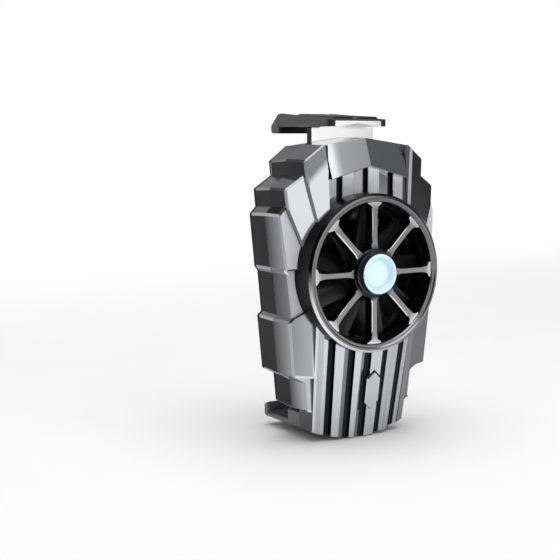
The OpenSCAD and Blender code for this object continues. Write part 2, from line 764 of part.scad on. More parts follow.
// Flat-sided slot with round ends
module stadium(w, h) {
    square([w - h, h], center = true);
    for (s = [-1, 1]) translate([s * (w - h) / 2, 0]) circle(d = h);
}
module socket_bar(w, h, z0, z1)
    translate([0, -socket_mid, z0]) linear_extrude(z1 - z0) stadium(w, h);

module usb_socket()
    color("silver") {
        difference() {
            socket_bar(socket_w, socket_h, socket_mouth_z, socket_mouth_z + socket_len);
            socket_bar(socket_w - 2 * socket_wall, socket_h - 2 * socket_wall, socket_mouth_z - 1,
                socket_mouth_z + socket_len - 0.8);
        }
        translate([-3.3, -socket_mid - 0.35, socket_mouth_z + 0.6]) cube([6.6, 0.7, socket_len - 1]);
    }

switch_side = 4;
switch_t = 1.5;
plunger_r = 1;
plunger_t = 0.5;
switch_z = flute_top_z + button_mid * cos(flute_tilt);
module tact_switch()
    color("dimgray") {
        translate([button_x, 0, switch_z])
            block(switch_side / 2, -switch_side / 2, switch_side / 2, board_front + seam_gap,
                board_front + switch_t);
        post(button_x, switch_z, plunger_r, board_front + switch_t - 0.1, board_front + switch_t + plunger_t);
    }

button_gap = 0.12;
button_proud = 0.3;
button_shelf = 2.6;
button_flange = 0.5;
button_flange_t = 0.8;
button_stem_r = 1.1;
button_face = flute_top_depth + button_mid * sin(flute_tilt);
button_stem = (button_face - board_front - switch_t - plunger_t - button_travel) / cos(flute_tilt) - 0.35;
module power_button()
    color("lightgray") {
        button_prism(-button_gap, button_shelf + 0.3, button_proud);
        button_prism(button_flange - button_gap, button_shelf + seam_gap + button_flange_t,
            -button_shelf - seam_gap);
        flute_frame() translate([button_x, button_stem, button_mid]) rotate([90, 0, 0])
            cylinder(r = button_stem_r, h = button_stem - button_shelf - 0.2);
    }

inlay_t = 0.8;
inlay_shy = 0.4;
module upper_inlays()
    color("midnightblue") intersection() {
        upper_grooves(-fit_gap, groove_d - seam_gap, inlay_t - groove_d);
        slab(0, reach) difference() {
            polygon([[-panel_half_w, forehead_low_side_z - inlay_shy], [0, forehead_low_mid_z - inlay_shy],
                [panel_half_w, forehead_low_side_z - inlay_shy], [panel_half_w, 0], [-panel_half_w, 0]]);
            circle(r = ring_r + 0.15);
        }
    }

module lower_inlays()
    color("midnightblue") difference() {
        intersection() {
            lower_grooves(-fit_gap, groove_d - seam_gap, inlay_t - groove_d);
            slab(0, reach) difference() {
                intersection() {
                    flute_front();
                    chin_circle(0.1);
                }
                circle(r = ring_r + 0.15);
            }
        }
        button_prism(fit_gap, reach, reach);
    }

// Spring clip
hook_z = roof_crest_z + hook_rest_gap;
arm_back_depth = arm_front_depth - arm_t;
arm_mid_depth = arm_front_depth - arm_t / 2;
rod_x = 11.4;
rod_r = 0.8;
yoke_low_z = 12;
yoke_t = 2;
yoke_half_w = 13.2;
yoke_depth = 3.6;
spring_r = 1.55;
wire_r = 0.22;
spring_low_z = yoke_low_z + yoke_t;
spring_packed = 5.2;
spring_top_z = spring_low_z + clip_up + spring_packed;
rod_seat_top_z = yoke_low_z - clip_down - 0.2;
rod_seat_low_z = rod_seat_top_z - 1.1;
tab_half_w = 6.8;
tab_drop = 0.15;
tab_t = 1.3;
tab_notch = 0.8;
tab_low_z = hook_z - tab_drop;
tab_top_z = tab_low_z + tab_t;
tab_notch_z = tab_low_z + tab_notch;
hook_plate_t = 0.85;
hook_plate_over = 0.6;
hook_plate_z = hook_z + pad_t;
hook_plate_top_z = hook_plate_z + hook_plate_t;
hook_plate_back = phone_t + hook_plate_over;

module arm_stem()
    polygon([[-yoke_half_w + 3, yoke_low_z], [yoke_half_w - 3, yoke_low_z], [arm_half_w, yoke_low_z + yoke_t],
        [arm_half_w, hook_z - 0.4], [tab_half_w, hook_z - 0.4], [tab_half_w, hook_plate_top_z],
        [-tab_half_w, hook_plate_top_z], [-tab_half_w, hook_z - 0.4], [-arm_half_w, hook_z - 0.4],
        [-arm_half_w, yoke_low_z + yoke_t]]);

module clip_arm()
    color("whitesmoke") difference() {
        union() {
            slab(arm_back_depth, arm_front_depth) arm_stem();
            both_sides() translate([arm_half_w - 1, -arm_mid_depth - yoke_depth / 2, yoke_low_z])
                cube([yoke_half_w - arm_half_w + 1, yoke_depth, yoke_t]);
            slab(arm_front_depth - 0.1, tab_front_depth)
                polygon([[-tab_half_w, tab_low_z], [-tab_half_w + 1.4, tab_low_z], [0, tab_notch_z],
                    [tab_half_w - 1.4, tab_low_z], [tab_half_w, tab_low_z], [tab_half_w, tab_top_z],
                    [-tab_half_w, tab_top_z]]);
            block(tab_half_w, hook_plate_z, hook_plate_top_z, -hook_plate_back, arm_front_depth - 0.1);
        }
        both_sides() translate([rod_x, -arm_mid_depth, yoke_low_z - 1])
            cylinder(r = rod_r + fit_gap, h = yoke_t + 2);
    }

// Rubber cap over the arm's top, with a toe that turns down in front of the phone's screen
cap_half_w = 8.6;
cap_lip = 0.3;
cap_front_rise = 1.55;
cap_back_rise = 3.35;
cap_front_depth = tab_front_depth + cap_lip;
cap_front_z = hook_z + cap_front_rise;
cap_back_z = hook_z + cap_back_rise;
cap_corner_r = 1.6;
cap_back = 9.1;
cap_toe = 4;
cap_toe_drop = 1.6;
cap_slope = atan((cap_back_z - cap_front_z) / (cap_back + cap_front_depth));
grip_w = 5.4;
grip_t = 0.5;
grip_len = 11;
grip_from = 1.5;
// Seen from above, the cap's front corners are round
module cap_plan()
    translate([0, 0, hook_z - reach]) linear_extrude(2 * reach) hull() {
        for (s = [-1, 1]) translate([s * (cap_half_w - cap_corner_r), cap_corner_r - cap_front_depth])
            circle(r = cap_corner_r, $fn = 32);
        translate([-cap_half_w, 0]) square([2 * cap_half_w, reach]);
    }

module hook_cap()
    color("dimgray") difference() {
        union() {
            intersection() {
                cap_plan();
                cap_side();
            }
            for (s = [-1, 1])
                translate([s * (grip_w / 2 + 0.9), -cap_front_depth, cap_front_z]) rotate([cap_slope, 0, 0])
                    translate([0, grip_from + grip_len, 0]) rotate([90, 0, 0]) linear_extrude(grip_len)
                        polygon([[-grip_w / 2 - 0.5, -0.2], [-grip_w / 2, grip_t], [grip_w / 2, grip_t],
                            [grip_w / 2 + 0.5, -0.2]]);
        }
        block(tab_half_w + fit_gap, 0, hook_plate_top_z + fit_gap, arm_back_depth - fit_gap,
            arm_front_depth + fit_gap);
        block(tab_half_w + fit_gap, 0, tab_top_z + fit_gap, arm_front_depth, reach);
        block(tab_half_w + fit_gap, 0, hook_plate_top_z + fit_gap, -hook_plate_back - fit_gap,
            arm_front_depth);
        block(tab_half_w + fit_gap, hook_z - 1, hook_plate_z, -phone_t, arm_front_depth);
    }

module cap_side()
    rotate([90, 0, 90]) translate([0, 0, -cap_half_w]) linear_extrude(2 * cap_half_w)
        polygon([[-cap_front_depth, tab_low_z], [-cap_front_depth, cap_front_z - 0.3],
            [-cap_front_depth + 0.4, cap_front_z], [cap_back - 0.6, cap_back_z],
            [cap_back + 0.2, cap_back_z - 0.2],
            [phone_t + cap_toe, hook_z + 0.3], [phone_t + cap_toe, hook_z - cap_toe_drop + 0.5],
            [phone_t + cap_toe - 0.5, hook_z - cap_toe_drop], [phone_t, hook_z - cap_toe_drop],
            [phone_t, hook_z + seam_gap], [0.2, hook_z + seam_gap], [0.2, tab_low_z]]);

module hook_pad()
    color("black") block(tab_half_w - 0.6, hook_z + seam_gap, hook_plate_z - seam_gap, -phone_t + 0.4,
        -0.3);

module clip_rods()
    color("lightgray") both_sides() translate([rod_x, -arm_mid_depth, rod_seat_low_z + 0.2])
        cylinder(r = rod_r, h = spring_top_z + 0.8 - rod_seat_low_z - 0.2);

// A spring is one round wire swept along its coil
coil_steps = 8;
wire_sides = 6;
coil_rise = spring_top_z - spring_low_z - 2 * wire_r - 0.1;
function coil_point(k) = [spring_r * cos(k * 360 / coil_steps), spring_r * sin(k * 360 / coil_steps),
    spring_low_z + wire_r + 0.05 + coil_rise * k / (coil_steps * spring_turns)];
function coil_ring(k) = let (c = coil_point(k), a = k * 360 / coil_steps)
    [for (j = [0:wire_sides - 1]) let (b = j * 360 / wire_sides)
        c + wire_r * [cos(a) * cos(b), sin(a) * cos(b), sin(b)]];
coil_count = coil_steps * spring_turns;
coil_gap = min([for (k = [0:coil_count - coil_steps]) norm(coil_point(k + coil_steps) - coil_point(k))])
    - 2 * wire_r;
echo(str("least gap between spring turns: ", coil_gap, " mm"));
echo(str("phone width held: ", hook_z + phone_low, " mm"));

module clip_spring(side)
    color("silver") translate([side * rod_x, -arm_mid_depth, 0])
        polyhedron(
            points = [for (k = [0:coil_count]) each coil_ring(k)],
            faces = concat(
                [for (j = [1:wire_sides - 2]) [0, j, j + 1]],
                [for (k = [0:coil_count - 1], j = [0:wire_sides - 1]) each
                    let (a = k * wire_sides + j, b = k * wire_sides + (j + 1) % wire_sides)
                    [[a, a + wire_sides, b], [b, a + wire_sides, b + wire_sides]]],
                [for (j = [1:wire_sides - 2]) [coil_count * wire_sides, coil_count * wire_sides + j + 1,
                    coil_count * wire_sides + j]]));

module left_spring() clip_spring(-1);
module right_spring() clip_spring(1);

module case_screws()
    color("silver") both_sides() for (p = case_screw_at) translate([p[0], 0, p[1]])
        screw(screw_r, head_r, head_t, cavity_front + 0.6, pad_depth + head_t + seam_gap, true);

module jaw_screws()
    color("silver") both_sides() translate([jaw_screw_x, -jaw_screw_depth, floor_inner_z + seam_gap]) {
        translate([0, 0, jaw_floor_z - floor_inner_z]) cylinder(r = screw_r, h = floor_inner_z - jaw_floor_z);
        difference() {
            cylinder(r = head_r, h = head_t);
            translate([0, 0, head_t * 0.5]) cylinder(r = head_r * 0.5, h = head_t, $fn = 6);
        }
    }

front_shell();
rear_shell();
lower_jaw();
jaw_pad();
back_pad();
cold_plate();
thermoelectric_module();
heat_sink();
heat_sink_screws();
fan_bezel();
guard_spider();
hub_lens();
led_board();
fan_frame();
fan_screws();
bearing_sleeve();
stator();
rotor();
rotor_shaft();
magnet_ring();
circuit_board();
usb_socket();
tact_switch();
power_button();
upper_inlays();
lower_inlays();
clip_arm();
hook_cap();
hook_pad();
clip_rods();
left_spring();
right_spring();
case_screws();
jaw_screws();
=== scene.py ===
import json
import math

import bmesh
import bpy
from mathutils import Matrix, Vector
from mathutils.bvhtree import BVHTree
from mathutils.geometry import intersect_point_line

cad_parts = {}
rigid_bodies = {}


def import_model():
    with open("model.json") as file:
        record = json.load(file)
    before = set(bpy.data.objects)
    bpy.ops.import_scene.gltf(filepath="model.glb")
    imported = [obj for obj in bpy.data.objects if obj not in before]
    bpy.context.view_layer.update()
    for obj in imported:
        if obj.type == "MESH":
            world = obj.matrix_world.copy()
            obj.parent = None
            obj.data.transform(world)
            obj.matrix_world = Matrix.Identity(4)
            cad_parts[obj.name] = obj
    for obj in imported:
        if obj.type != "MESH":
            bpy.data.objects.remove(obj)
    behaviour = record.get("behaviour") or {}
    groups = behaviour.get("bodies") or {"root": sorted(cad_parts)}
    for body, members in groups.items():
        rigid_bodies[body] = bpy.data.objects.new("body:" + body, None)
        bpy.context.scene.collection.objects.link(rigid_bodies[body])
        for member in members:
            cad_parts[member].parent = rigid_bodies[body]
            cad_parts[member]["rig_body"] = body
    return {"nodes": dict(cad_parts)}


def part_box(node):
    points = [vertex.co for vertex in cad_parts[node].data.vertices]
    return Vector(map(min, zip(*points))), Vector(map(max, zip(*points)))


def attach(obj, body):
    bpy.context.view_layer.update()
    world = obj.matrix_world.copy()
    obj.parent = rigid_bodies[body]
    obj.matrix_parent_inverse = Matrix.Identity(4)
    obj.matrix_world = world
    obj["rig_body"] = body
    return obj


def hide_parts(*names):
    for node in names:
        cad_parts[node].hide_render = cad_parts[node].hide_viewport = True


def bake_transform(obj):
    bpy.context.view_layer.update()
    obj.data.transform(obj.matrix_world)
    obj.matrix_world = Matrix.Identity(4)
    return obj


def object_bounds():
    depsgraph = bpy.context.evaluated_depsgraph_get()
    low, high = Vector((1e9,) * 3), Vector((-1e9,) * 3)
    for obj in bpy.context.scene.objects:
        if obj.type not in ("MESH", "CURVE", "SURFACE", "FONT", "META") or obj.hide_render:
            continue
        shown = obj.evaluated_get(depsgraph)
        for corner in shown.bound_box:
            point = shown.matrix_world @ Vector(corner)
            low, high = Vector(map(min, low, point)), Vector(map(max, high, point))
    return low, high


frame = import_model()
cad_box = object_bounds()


# The set: a pale floor that bends up into a low white backdrop, one broad key from the front
# right, a soft overhead light and a weak fill from the left. The room is dark in front and
# paler overhead and behind.
floor_z = cad_box[0].z - 0.0002
set_half_width = 2.6
set_front = -2.6
set_back = 0.62
backdrop_height = 0.30
backdrop_bend = 0.16
white_from_y = 0.06
white_to_y = 0.40

bm = bmesh.new()
corners = [bm.verts.new((x, y, floor_z)) for x, y in
           ((-set_half_width, set_front), (set_half_width, set_front),
            (set_half_width, set_back), (-set_half_width, set_back))]
bm.faces.new(corners)
back_edge = bm.edges.get((corners[2], corners[3]))
wall = bmesh.ops.extrude_edge_only(bm, edges=[back_edge])
bmesh.ops.translate(bm, verts=[v for v in wall["geom"] if isinstance(v, bmesh.types.BMVert)],
                    vec=(0, 0, backdrop_height))
bmesh.ops.bevel(bm, geom=[back_edge], offset=backdrop_bend, offset_type="OFFSET", segments=12, profile=0.5,
                affect="EDGES", material=-1)
bmesh.ops.recalc_face_normals(bm, faces=bm.faces)
floor_mesh = bpy.data.meshes.new("floor_sheet")
bm.to_mesh(floor_mesh)
bm.free()
floor_sheet = bpy.data.objects.new("floor_sheet", floor_mesh)
bpy.context.scene.collection.objects.link(floor_sheet)


def rising(tree, value, low, high, to=(0.0, 1.0), smooth=False):
    """A value that goes from the first of to, where value is low, to the second, where it is high."""
    node = tree.nodes.new("ShaderNodeMapRange")
    node.interpolation_type = "SMOOTHSTEP" if smooth else "LINEAR"
    node.inputs["From Min"].default_value = low
    node.inputs["From Max"].default_value = high
    node.inputs["To Min"].default_value = to[0]
    node.inputs["To Max"].default_value = to[1]
    tree.links.new(value, node.inputs["Value"])
    return node.outputs["Result"]


def mixed(tree, factor, first, second):
    """A colour between two colours, each given as numbers or as a socket."""
    node = tree.nodes.new("ShaderNodeMix")
    node.data_type = "RGBA"
    tree.links.new(factor, node.inputs["Factor"])
    for label, colour in (("A", first), ("B", second)):
        if isinstance(colour, tuple):
            node.inputs[label].default_value = (*colour, 1)
        else:
            tree.links.new(colour, node.inputs[label])
    return node.outputs["Result"]


def sums(tree, operation, first, second, third=None):
    """The result of a Math node; each term is a number or a socket."""
    node = tree.nodes.new("ShaderNodeMath")
    node.operation = operation
    for index, term in enumerate((first, second, third)):
        if isinstance(term, float):
            node.inputs[index].default_value = term
        elif term is not None:
            tree.links.new(term, node.inputs[index])
    return node.outputs["Value"]


floor_paper = bpy.data.materials.new("floor_paper")
floor_paper.use_nodes = True
tree = floor_paper.node_tree
paper = tree.nodes["Principled BSDF"]
paper.inputs["Roughness"].default_value = 0.85
place = tree.nodes.new("ShaderNodeTexCoord")
fibre = tree.nodes.new("ShaderNodeTexNoise")
fibre.inputs["Scale"].default_value = 40.0
tree.links.new(place.outputs["Object"], fibre.inputs["Vector"])
paper_tone = mixed(tree, fibre.outputs["Fac"], (0.90, 0.905, 0.91), (0.93, 0.93, 0.93))
tree.links.new(paper_tone, paper.inputs["Base Color"])
axes = tree.nodes.new("ShaderNodeSeparateXYZ")
tree.links.new(place.outputs["Object"], axes.inputs["Vector"])
fade = rising(tree, axes.outputs["Y"], white_from_y, white_to_y, smooth=True)
ray = tree.nodes.new("ShaderNodeLightPath")
seen = sums(tree, "MAXIMUM", ray.outputs["Is Camera Ray"], ray.outputs["Is Glossy Ray"])
seen = sums(tree, "MAXIMUM", seen, ray.outputs["Is Transmission Ray"])
white = tree.nodes.new("ShaderNodeEmission")
white.inputs["Color"].default_value = (1, 1, 1, 1)
both = tree.nodes.new("ShaderNodeMixShader")
tree.links.new(sums(tree, "MULTIPLY", fade, seen), both.inputs["Fac"])
tree.links.new(paper.outputs["BSDF"], both.inputs[1])
tree.links.new(white.outputs["Emission"], both.inputs[2])
tree.links.new(both.outputs["Shader"], tree.nodes["Material Output"].inputs["Surface"])
floor_mesh.materials.append(floor_paper)

paler_behind = 0.25
world = bpy.data.worlds.new("grey_room")
world.use_nodes = True
tree = world.node_tree
aim = tree.nodes.new("ShaderNodeTexCoord")
aim_axes = tree.nodes.new("ShaderNodeSeparateXYZ")
tree.links.new(aim.outputs["Generated"], aim_axes.inputs["Vector"])
ceiling = tree.nodes.new("ShaderNodeValToRGB")
ceiling.color_ramp.elements[0].position = 0.0
ceiling.color_ramp.elements[0].color = (0.035, 0.036, 0.038, 1)
ceiling.color_ramp.elements[1].position = 0.85
ceiling.color_ramp.elements[1].color = (0.34, 0.345, 0.35, 1)
ceiling.color_ramp.elements.new(0.25).color = (0.10, 0.103, 0.107, 1)
behind = sums(tree, "MULTIPLY_ADD", aim_axes.outputs["Y"], paler_behind, aim_axes.outputs["Z"])
tree.links.new(behind, ceiling.inputs["Fac"])
tree.links.new(ceiling.outputs["Color"], tree.nodes["Background"].inputs["Color"])
bpy.context.scene.world = world


def softbox(name, azimuth, elevation, distance, width, height, radiance):
    """One area lamp that looks at the object; azimuth 0 is in front and 90 to the right."""
    lamp = bpy.data.lights.new(name, "AREA")
    lamp.shape = "RECTANGLE"
    lamp.size = width
    lamp.size_y = height
    lamp.energy = radiance * math.pi * width * height
    a, e = math.radians(azimuth), math.radians(elevation)
    to_lamp = Vector((math.sin(a) * math.cos(e), -math.cos(a) * math.cos(e), math.sin(e)))
    holder = bpy.data.objects.new(name, lamp)
    holder.location = to_lamp * distance
    holder.rotation_euler = to_lamp.to_track_quat("Z", "Y").to_euler()
    bpy.context.scene.collection.objects.link(holder)


softbox("key_light", 14, 20, 0.95, 0.85, 0.70, 1.15)
softbox("overhead_light", 10, 84, 0.90, 1.0, 1.0, 2.6)
softbox("left_fill", -75, 30, 1.0, 0.5, 0.6, 0.9)

camera_at = Vector((-0.16445, -0.24162, 0.03001))
camera_look = Vector((0.5254, 0.8432, -0.1138)).normalized()
camera_roll = math.radians(-0.23)
camera_data = bpy.data.cameras.new("photo_camera")
camera_data.sensor_width = 36.0
camera_data.lens = 75.2
camera_data.clip_start = 0.01
camera_data.clip_end = 20.0
camera = bpy.data.objects.new("photo_camera", camera_data)
turn = camera_look.to_track_quat("-Z", "Y").to_matrix().to_4x4() @ Matrix.Rotation(camera_roll, 4, "Z")
camera.matrix_world = Matrix.Translation(camera_at) @ turn
bpy.context.scene.collection.objects.link(camera)
bpy.context.scene.camera = camera
bpy.context.scene.view_settings.view_transform = "Standard"


# Cold plate: a milled aluminium plate that takes up the heat at the cooler's back, let into a
# window of the rear shell. Its face carries fine straight brush lines.
def add_socket(group, name, kind, in_out="OUTPUT", value=None):
    """Gives a node group one more named input or output."""
    socket = group.interface.new_socket(name=name, in_out=in_out, socket_type="NodeSocket" + kind)
    if value is not None:
        socket.default_value = value


marks = bpy.data.node_groups.new("handling_marks", "ShaderNodeTree")
add_socket(marks, "Smudge scale", "Float", "INPUT", 70.0)
add_socket(marks, "Grain scale", "Float", "INPUT", 5000.0)
add_socket(marks, "Grain depth", "Float", "INPUT", 0.2)
add_socket(marks, "Stretch", "Vector", "INPUT", (1, 1, 1))
add_socket(marks, "Smudge", "Float")
add_socket(marks, "Grain", "Float")
add_socket(marks, "Normal", "Vector")
marks_in = marks.nodes.new("NodeGroupInput")
marks_out = marks.nodes.new("NodeGroupOutput")
marks_place = marks.nodes.new("ShaderNodeTexCoord")
marks_stretch = marks.nodes.new("ShaderNodeVectorMath")
marks_stretch.operation = "MULTIPLY"
marks.links.new(marks_place.outputs["Object"], marks_stretch.inputs[0])
marks.links.new(marks_in.outputs["Stretch"], marks_stretch.inputs[1])
marks_smudge = marks.nodes.new("ShaderNodeTexNoise")
marks_smudge.inputs["Detail"].default_value = 4.0
marks.links.new(marks_place.outputs["Object"], marks_smudge.inputs["Vector"])
marks.links.new(marks_in.outputs["Smudge scale"], marks_smudge.inputs["Scale"])
marks_grain = marks.nodes.new("ShaderNodeTexNoise")
marks_grain.inputs["Detail"].default_value = 2.0
marks.links.new(marks_stretch.outputs["Vector"], marks_grain.inputs["Vector"])
marks.links.new(marks_in.outputs["Grain scale"], marks_grain.inputs["Scale"])
marks_bump = marks.nodes.new("ShaderNodeBump")
marks_bump.inputs["Distance"].default_value = 0.00002
marks.links.new(marks_in.outputs["Grain depth"], marks_bump.inputs["Strength"])
marks.links.new(marks_grain.outputs["Fac"], marks_bump.inputs["Height"])
marks.links.new(marks_smudge.outputs["Fac"], marks_out.inputs["Smudge"])
marks.links.new(marks_grain.outputs["Fac"], marks_out.inputs["Grain"])
marks.links.new(marks_bump.outputs["Normal"], marks_out.inputs["Normal"])

noise_low = 0.3
noise_high = 0.7


def finish_coat(name, dark, light, rough, metallic=0.0, smudge=70.0, grain=5000.0, depth=0.2,
                stretch=(1, 1, 1)):
    """A material whose colour wanders between two tones and whose gloss follows the handling marks."""
    coat = bpy.data.materials.new(name)
    coat.use_nodes = True
    tree = coat.node_tree
    shader = tree.nodes["Principled BSDF"]
    shader.inputs["Metallic"].default_value = metallic
    worn = tree.nodes.new("ShaderNodeGroup")
    worn.node_tree = marks
    worn.name = "marks"
    worn.inputs["Smudge scale"].default_value = smudge
    worn.inputs["Grain scale"].default_value = grain
    worn.inputs["Grain depth"].default_value = depth
    worn.inputs["Stretch"].default_value = stretch
    spread = rising(tree, worn.outputs["Grain"], noise_low, noise_high)
    spread.node.name = "spread"
    tone = mixed(tree, spread, dark, light)
    tone.node.name = "tone"
    tree.links.new(tone, shader.inputs["Base Color"])
    gloss = rising(tree, worn.outputs["Smudge"], noise_low, noise_high, to=rough)
    gloss.node.name = "gloss"
    tree.links.new(gloss, shader.inputs["Roughness"])
    tree.links.new(worn.outputs["Normal"], shader.inputs["Normal"])
    return coat


def dress(node, material):
    """Gives a solid that keeps its own shape its finish."""
    slots = frame["nodes"][node].data.materials
    slots.clear()
    slots.append(material)


brushed_plate = finish_coat("brushed_plate", (0.70, 0.71, 0.72), (0.82, 0.83, 0.84), (0.24, 0.36),
                            metallic=1.0, smudge=90.0, grain=900.0, depth=0.5, stretch=(0.04, 1, 8))
dress("cold_plate", brushed_plate)


# Thermoelectric module: two white ceramic plates with the couples between them, pressed
# between the cold plate and the heat sink.
ceramic = finish_coat("ceramic", (0.76, 0.76, 0.73), (0.86, 0.86, 0.84), (0.45, 0.6), grain=3000.0)
dress("thermoelectric_module", ceramic)


# Heat sink: extruded aluminium with upright fins, pressed on the module's hot side and held to four
# posts by small screws. The same zinc-plated steel makes the other screws and the arm's two rods.
milled_fins = finish_coat("milled_fins", (0.42, 0.43, 0.45), (0.56, 0.57, 0.59), (0.30, 0.45),
                          metallic=1.0, smudge=120.0, grain=1500.0, depth=0.4, stretch=(1, 1, 0.05))
dress("heat_sink", milled_fins)
zinc_steel = finish_coat("zinc_steel", (0.48, 0.48, 0.49), (0.62, 0.62, 0.63), (0.22, 0.36),
                         metallic=1.0, smudge=300.0, grain=4000.0, depth=0.3)
for steel_piece in ("heat_sink_screws", "fan_screws", "case_screws", "jaw_screws", "clip_rods"):
    dress(steel_piece, zinc_steel)


# Rear shell: the back half of the moulded housing, plated metal. Its sides are painted nearly black and
# its ledges darker as painted shade, and its shoulders light grey. Its facets are flat, with small
# chamfered edges painted lighter than the sides as painted highlight lines. Four screws hold it.
everything = bmesh.new()
for solid in frame["nodes"].values():
    everything.from_mesh(solid.data)
all_solids = BVHTree.FromBMesh(everything)
everything.free()
ray_start = 2e-5
room_share = 0.42
straight_on = -0.9
weld_gap = 2e-6
flat_turn = math.radians(1.0)
sharp_turn = math.radians(14)
least_chamfer = 0.00005


def in_the_open(edge):
    """True where nothing stands in front of a convex edge."""
    out = (edge.link_faces[0].normal + edge.link_faces[1].normal).normalized()
    middle = (edge.verts[0].co + edge.verts[1].co) / 2
    return all_solids.ray_cast(middle + out * ray_start, out)[0] is None


def room_at(edge, width):
    """The widest chamfer, up to width, that the neighbouring edges and faces leave room for."""
    for corner in edge.verts:
        along = (edge.other_vert(corner).co - corner.co).normalized()
        for other in corner.link_edges:
            reach = other.other_vert(corner).co - corner.co
            turn = along.dot(reach.normalized())
            if other is not edge and turn > straight_on:
                width = min(width, room_share * reach.length * math.sqrt(max(1e-6, 1 - turn * turn)))
    middle = (edge.verts[0].co + edge.verts[1].co) / 2
    for face in edge.link_faces:
        for other in face.edges:
            if not set(other.verts) & set(edge.verts):
                near = intersect_point_line(middle, other.verts[0].co, other.verts[1].co)
                point = other.verts[0].co.lerp(other.verts[1].co, min(1.0, max(0.0, near[1])))
                width = min(width, room_share * (point - middle).length)
    return width


def crisp_facets(mesh, crease):
    """Shades gentle curves smooth, and keeps each edge sharp that turns by more than crease degrees."""
    if "custom_normal" in mesh.attributes:
        mesh.attributes.remove(mesh.attributes["custom_normal"])
    bm = bmesh.new()
    bm.from_mesh(mesh)
    for face in bm.faces:
        face.smooth = True
    for edge in bm.edges:
        edge.smooth = len(edge.link_faces) == 2 and edge.calc_face_angle(math.pi) < math.radians(crease)
    bm.to_mesh(mesh)
    bm.free()


def weigh_edges(bm, width_of):
    """Writes each open, sharp edge's chamfer as a share of the widest one, and returns the widest."""
    weight = bm.edges.layers.float.new("bevel_weight_edge")
    bm.normal_update()
    widest = 0.0
    for edge in bm.edges:
        sharp = len(edge.link_faces) == 2 and edge.is_convex and edge.calc_face_angle(0.0) > sharp_turn
        if sharp and in_the_open(edge):
            room = room_at(edge, width_of(edge))
            edge[weight] = room if room >= least_chamfer else 0.0
            widest = max(widest, edge[weight])
    for edge in bm.edges:
        edge[weight] /= widest
    return widest


def chamfered(node, name, width_of, segments=1, crease=6.0):
    """A copy of a solid with its open edges chamfered; the chamfers are marked in the layer rim."""
    bm = bmesh.new()
    bm.from_mesh(frame["nodes"][node].data)
    bmesh.ops.remove_doubles(bm, verts=bm.verts, dist=weld_gap)
    bmesh.ops.dissolve_limit(bm, angle_limit=flat_turn, verts=bm.verts, edges=bm.edges)
    widest = weigh_edges(bm, width_of)
    mesh = bpy.data.meshes.new(name)
    bm.to_mesh(mesh)
    bm.free()
    piece = bpy.data.objects.new(name, mesh)
    bpy.context.scene.collection.objects.link(piece)
    plain = bpy.data.materials.new(name + "_bare")
    mesh.materials.append(plain)
    mesh.materials.append(plain)
    edges = piece.modifiers.new("edges", "BEVEL")
    edges.limit_method = "WEIGHT"
    edges.width = widest
    edges.segments = segments
    edges.profile = 0.5
    edges.use_clamp_overlap = False
    edges.material = 1
    view = bpy.context.evaluated_depsgraph_get()
    shaped = bpy.data.meshes.new_from_object(piece.evaluated_get(view))
    piece.modifiers.clear()
    piece.data = shaped
    bpy.data.meshes.remove(mesh)
    shaped.name = name
    rim = shaped.attributes.new("rim", "FLOAT", "FACE")
    for face in shaped.polygons:
        rim.data[face.index].value = float(face.material_index)
        face.material_index = 0
    shaped.materials.clear()
    bpy.data.materials.remove(plain)
    crisp_facets(shaped, crease)
    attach(piece, frame["nodes"][node]["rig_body"])
    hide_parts(node)
    return piece


def tone_facets(piece, tone_of):
    """Writes the painted light and shade at each corner of each facet into a corner layer."""
    chamfer = [mark.value > 0.5 for mark in piece.data.attributes["rim"].data]
    layer = piece.data.attributes.new("painted_light", "FLOAT", "CORNER")
    for face in piece.data.polygons:
        for loop in face.loop_indices:
            place = piece.data.vertices[piece.data.loops[loop].vertex_index].co
            layer.data[loop].value = tone_of(face.normal, face.center, place, chamfer[face.index])


# The facets' painted light and shade, clouded a little by the handling marks.
cloud_depth = 0.06
clouded = bpy.data.node_groups.new("clouded_painted_light", "ShaderNodeTree")
add_socket(clouded, "Painted light", "Float", "INPUT")
add_socket(clouded, "Smudge", "Float", "INPUT")
add_socket(clouded, "Tone", "Float")
clouded_in = clouded.nodes.new("NodeGroupInput")
clouded_out = clouded.nodes.new("NodeGroupOutput")
smudge = clouded_in.outputs["Smudge"]
cloud = sums(clouded, "MULTIPLY_ADD", smudge, cloud_depth, clouded_in.outputs["Painted light"])
level = sums(clouded, "SUBTRACT", cloud, cloud_depth / 2)
level.node.use_clamp = True
clouded.links.new(level, clouded_out.inputs["Tone"])


def painted_light_coat(name, dark, bright, rough, metallic=1.0, grain=2500.0, depth=0.06):
    """A coat whose tone comes from the painted light and shade in the facets' corner layer, a little clouded
    by handling.
    """
    coat = finish_coat(name, dark, bright, rough, metallic=metallic, smudge=55.0, grain=grain, depth=depth)
    tree = coat.node_tree
    tree.nodes.remove(tree.nodes["spread"])
    painted_light = tree.nodes.new("ShaderNodeAttribute")
    painted_light.attribute_name = "painted_light"
    cloudy = tree.nodes.new("ShaderNodeGroup")
    cloudy.node_tree = clouded
    tree.links.new(painted_light.outputs["Fac"], cloudy.inputs["Painted light"])
    tree.links.new(tree.nodes["marks"].outputs["Smudge"], cloudy.inputs["Smudge"])
    tree.links.new(cloudy.outputs["Tone"], tree.nodes["tone"].inputs["Factor"])
    return coat


parting_y = -0.008
parting_slack = 0.0002
ring_clear_r = 0.0196
roof_slot_low_z = 0.0285
roof_slot_from_x = 0.0104
roof_slot_to_x = 0.0129
flutes_half_w = 0.0158
flutes_top_z = -0.0095
crown_half_w = 0.0116
crown_low_z = 0.0130
flute_chamfer = 0.00008
crown_chamfer = 0.00012
shoulder_chamfer = 0.00042
front_chamfer = 0.00075


